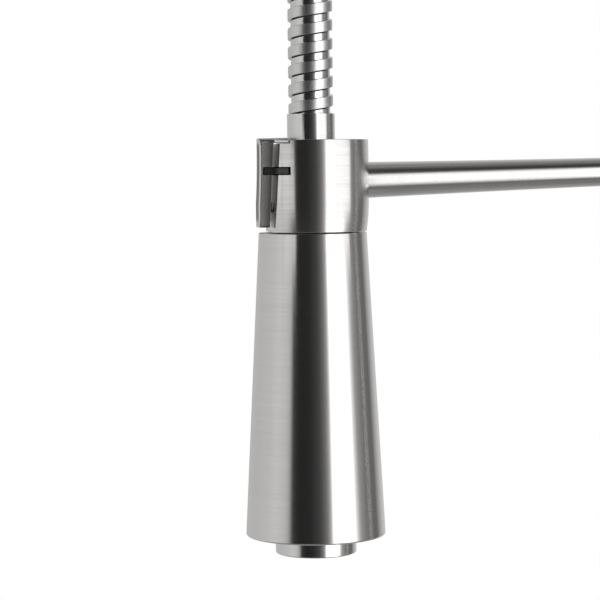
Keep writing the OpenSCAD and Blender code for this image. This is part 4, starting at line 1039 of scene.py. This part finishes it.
def fading(tree, value, first, last):
    """0 up to the first value, 1 from the last on, and soft between."""
    node = tree.nodes.new("ShaderNodeMapRange")
    node.interpolation_type = "SMOOTHSTEP"
    node.inputs["From Min"].default_value = first
    node.inputs["From Max"].default_value = last
    link(tree, value, node.inputs["Value"])
    return node.outputs[0]


# The walls by their angle to the camera's right, once for what the steel mirrors upwards and
# once for what it mirrors downwards, and then what is overhead and underfoot
BEHIND = [("behind", -180, 0.45), ("behind_left", -150, 0.62), ("left_back", -120, 0.66),
          ("left_wall", -88, 0.72), ("left_card", -72, 0.80)]
FRONT = [("camera_left", -28, 0.020), ("camera", -8, 0.028), ("camera_right", 8, 0.07),
         ("right_fold", 18, 0.19)]
RIGHT = [("key_start", 26, 0.5), ("key", 31, 2.4), ("key_end", 66, 2.4), ("key_fade", 72, 1.1),
         ("right_flag", 80, 0.42), ("right_flag_mid", 96, 0.22), ("right_dark", 123, 0.17),
         ("right_back", 130, 0.40), ("right_card", 146, 0.66), ("behind_right", 180, 0.7)]
HIGH_EDGE = [("left_card_end", -45, 0.74), ("left_flag", -40, 0.04)]
LOW_EDGE = [("left_card_end", -56, 0.68), ("left_fold", -50, 0.5), ("left_flag", -43, 0.05)]
OVER = [("floor_back", -180, 0.6), ("floor_behind", -120, 0.40), ("floor_below", -95, 0.32),
        ("floor_front", -40, 0.16), ("front", 0, 0.30), ("hood_edge", 35, 0.06),
        ("hood", 68, 0.055), ("hood_end", 76, 0.14), ("ceiling", 110, 0.34),
        ("ceiling_back", 136, 0.62), ("back", 180, 0.7)]


def angle_share(tree, a, b):
    """The angle whose tangent is a over b, as a share of the whole turn."""
    return maths(tree, "MULTIPLY_ADD", maths(tree, "ARCTAN2", a, b), 0.5 / math.pi, 0.5)


def room():
    """What the steel mirrors. Plain light falls on everything else, and the camera sees white."""
    world = bpy.data.worlds.new("studio")
    bpy.context.scene.world = world
    world.use_nodes = True
    tree = world.node_tree
    tree.nodes.clear()
    place = tree.nodes.new("ShaderNodeTexCoord")
    turn = tree.nodes.new("ShaderNodeMapping")
    turn.inputs["Rotation"].default_value = (0, 0, math.radians(9.0))
    link(tree, place.outputs["Generated"], turn.inputs["Vector"])
    split = tree.nodes.new("ShaderNodeSeparateXYZ")
    link(tree, turn.outputs[0], split.inputs[0])
    rise = split.outputs["Z"]
    front = maths(tree, "MULTIPLY", split.outputs["Y"], -1.0)
    around = angle_share(tree, split.outputs["X"], front)
    across = angle_share(tree, rise, front)
    low_walls = panels_ramp(tree, around, BEHIND + LOW_EDGE + FRONT + RIGHT)
    high_walls = panels_ramp(tree, around, BEHIND + HIGH_EDGE + FRONT + RIGHT)
    walls = tinted(tree, fading(tree, rise, -0.11, -0.02), low_walls, high_walls)
    steep = fading(tree, maths(tree, "ABSOLUTE", rise), 0.42, 0.72)
    mirror = tinted(tree, steep, walls, panels_ramp(tree, across, OVER))
    rays = tree.nodes.new("ShaderNodeLightPath")
    seen = tinted(tree, rays.outputs["Is Diffuse Ray"], mirror, (0.86, 0.86, 0.86))
    seen = tinted(tree, rays.outputs["Is Camera Ray"], seen, (1.0, 1.0, 1.0))
    background = tree.nodes.new("ShaderNodeBackground")
    link(tree, seen, background.inputs["Color"])
    out = tree.nodes.new("ShaderNodeOutputWorld")
    link(tree, background.outputs[0], out.inputs[0])


room()


def card(name, start, end, low, high, levels):
    """A small upright card that only the steel's reflections see: levels are its brightness over
    its height."""
    only()
    bpy.ops.mesh.primitive_grid_add(x_subdivisions=4, y_subdivisions=12, size=MM)
    piece = bpy.context.object
    middle = ((start[0] + end[0]) / 2, (start[1] + end[1]) / 2, (low + high) / 2)
    piece.scale = (math.dist(start, end), high - low, 1)
    piece.rotation_euler = (math.pi / 2, 0, math.atan2(end[1] - start[1], end[0] - start[0]))
    piece.location = [v * MM for v in middle]
    settle(piece, name)
    finish = bpy.data.materials.new(name)
    finish.use_nodes = True
    tree = finish.node_tree
    tree.nodes.clear()
    place = tree.nodes.new("ShaderNodeTexCoord")
    split = tree.nodes.new("ShaderNodeSeparateXYZ")
    link(tree, place.outputs["Object"], split.inputs[0])
    tall = high - low
    height = maths(tree, "MULTIPLY_ADD", split.outputs["Z"], 1 / (tall * MM), -low / tall)
    glow = tree.nodes.new("ShaderNodeEmission")
    link(tree, ramp(tree, height, levels), glow.inputs["Color"])
    out = tree.nodes.new("ShaderNodeOutputMaterial")
    link(tree, glow.outputs[0], out.inputs[0])
    piece.data.materials.append(finish)
    for ray in ("camera", "diffuse", "transmission", "shadow", "volume_scatter"):
        setattr(piece, "visible_" + ray, False)


def floor():
    """A pale disc that keeps the object's shadow and fades to white towards its rim."""
    x, z = -0.1, -0.0635
    only()
    bpy.ops.mesh.primitive_circle_add(vertices=96, radius=0.52, fill_type="NGON",
                                      location=(x, 0, z))
    disc = settle(bpy.context.object, "studio_floor")
    finish, tree, shader, place = blank_material("studio_floor")
    shader.inputs["Roughness"].default_value = 0.9
    shader.inputs["Base Color"].default_value = (0.86, 0.86, 0.86, 1)
    mapping = tree.nodes.new("ShaderNodeMapping")
    mapping.inputs["Location"].default_value = (-x, 0, -z)
    link(tree, place, mapping.inputs["Vector"])
    length = tree.nodes.new("ShaderNodeVectorMath")
    length.operation = "LENGTH"
    link(tree, mapping.outputs[0], length.inputs[0])
    white = tree.nodes.new("ShaderNodeEmission")
    mix = tree.nodes.new("ShaderNodeMixShader")
    link(tree, fading(tree, length.outputs["Value"], 0.26, 0.51), mix.inputs[0])
    link(tree, shader.outputs[0], mix.inputs[1])
    link(tree, white.outputs[0], mix.inputs[2])
    out = [n for n in tree.nodes if n.type == "OUTPUT_MATERIAL"][0]
    link(tree, mix.outputs[0], out.inputs[0])
    disc.data.materials.append(finish)
    disc.visible_glossy = False


def lamp(name, place, aim, size, power):
    """A round soft lamp that the steel doesn't mirror."""
    data = bpy.data.lights.new(name, "AREA")
    data.shape = "DISK"
    data.size = size
    data.energy = power
    light = bpy.data.objects.new(name, data)
    bpy.context.scene.collection.objects.link(light)
    light.location = place
    light.rotation_euler = (Vector(aim) - Vector(place)).to_track_quat("-Z", "Y").to_euler()
    light.visible_glossy = False
    light.visible_camera = False


card("arm_card", (-187, -45), (-95, -45), 318, 370,
     [(0.0, 1.1), (0.2, 1.6), (0.75, 1.6), (0.9, 1.3), (1.0, 0.9)])
card("collar_card", (-302.4, -43.5), (-275.4, -74.1), COLLAR - 8, COLLAR_TOP + 3,
     [(0.0, 0.92), (1.0, 0.92)])
card("paddle_flag", (-245, 30), (-223, 30), COLLAR + 3, COLLAR_TOP - 1, [(0.0, 0.2), (1.0, 0.2)])
floor()
lamp("soft_key", (0.35, -0.8, 1.15), (-0.12, 0, 0.2), 0.7, 4.5)
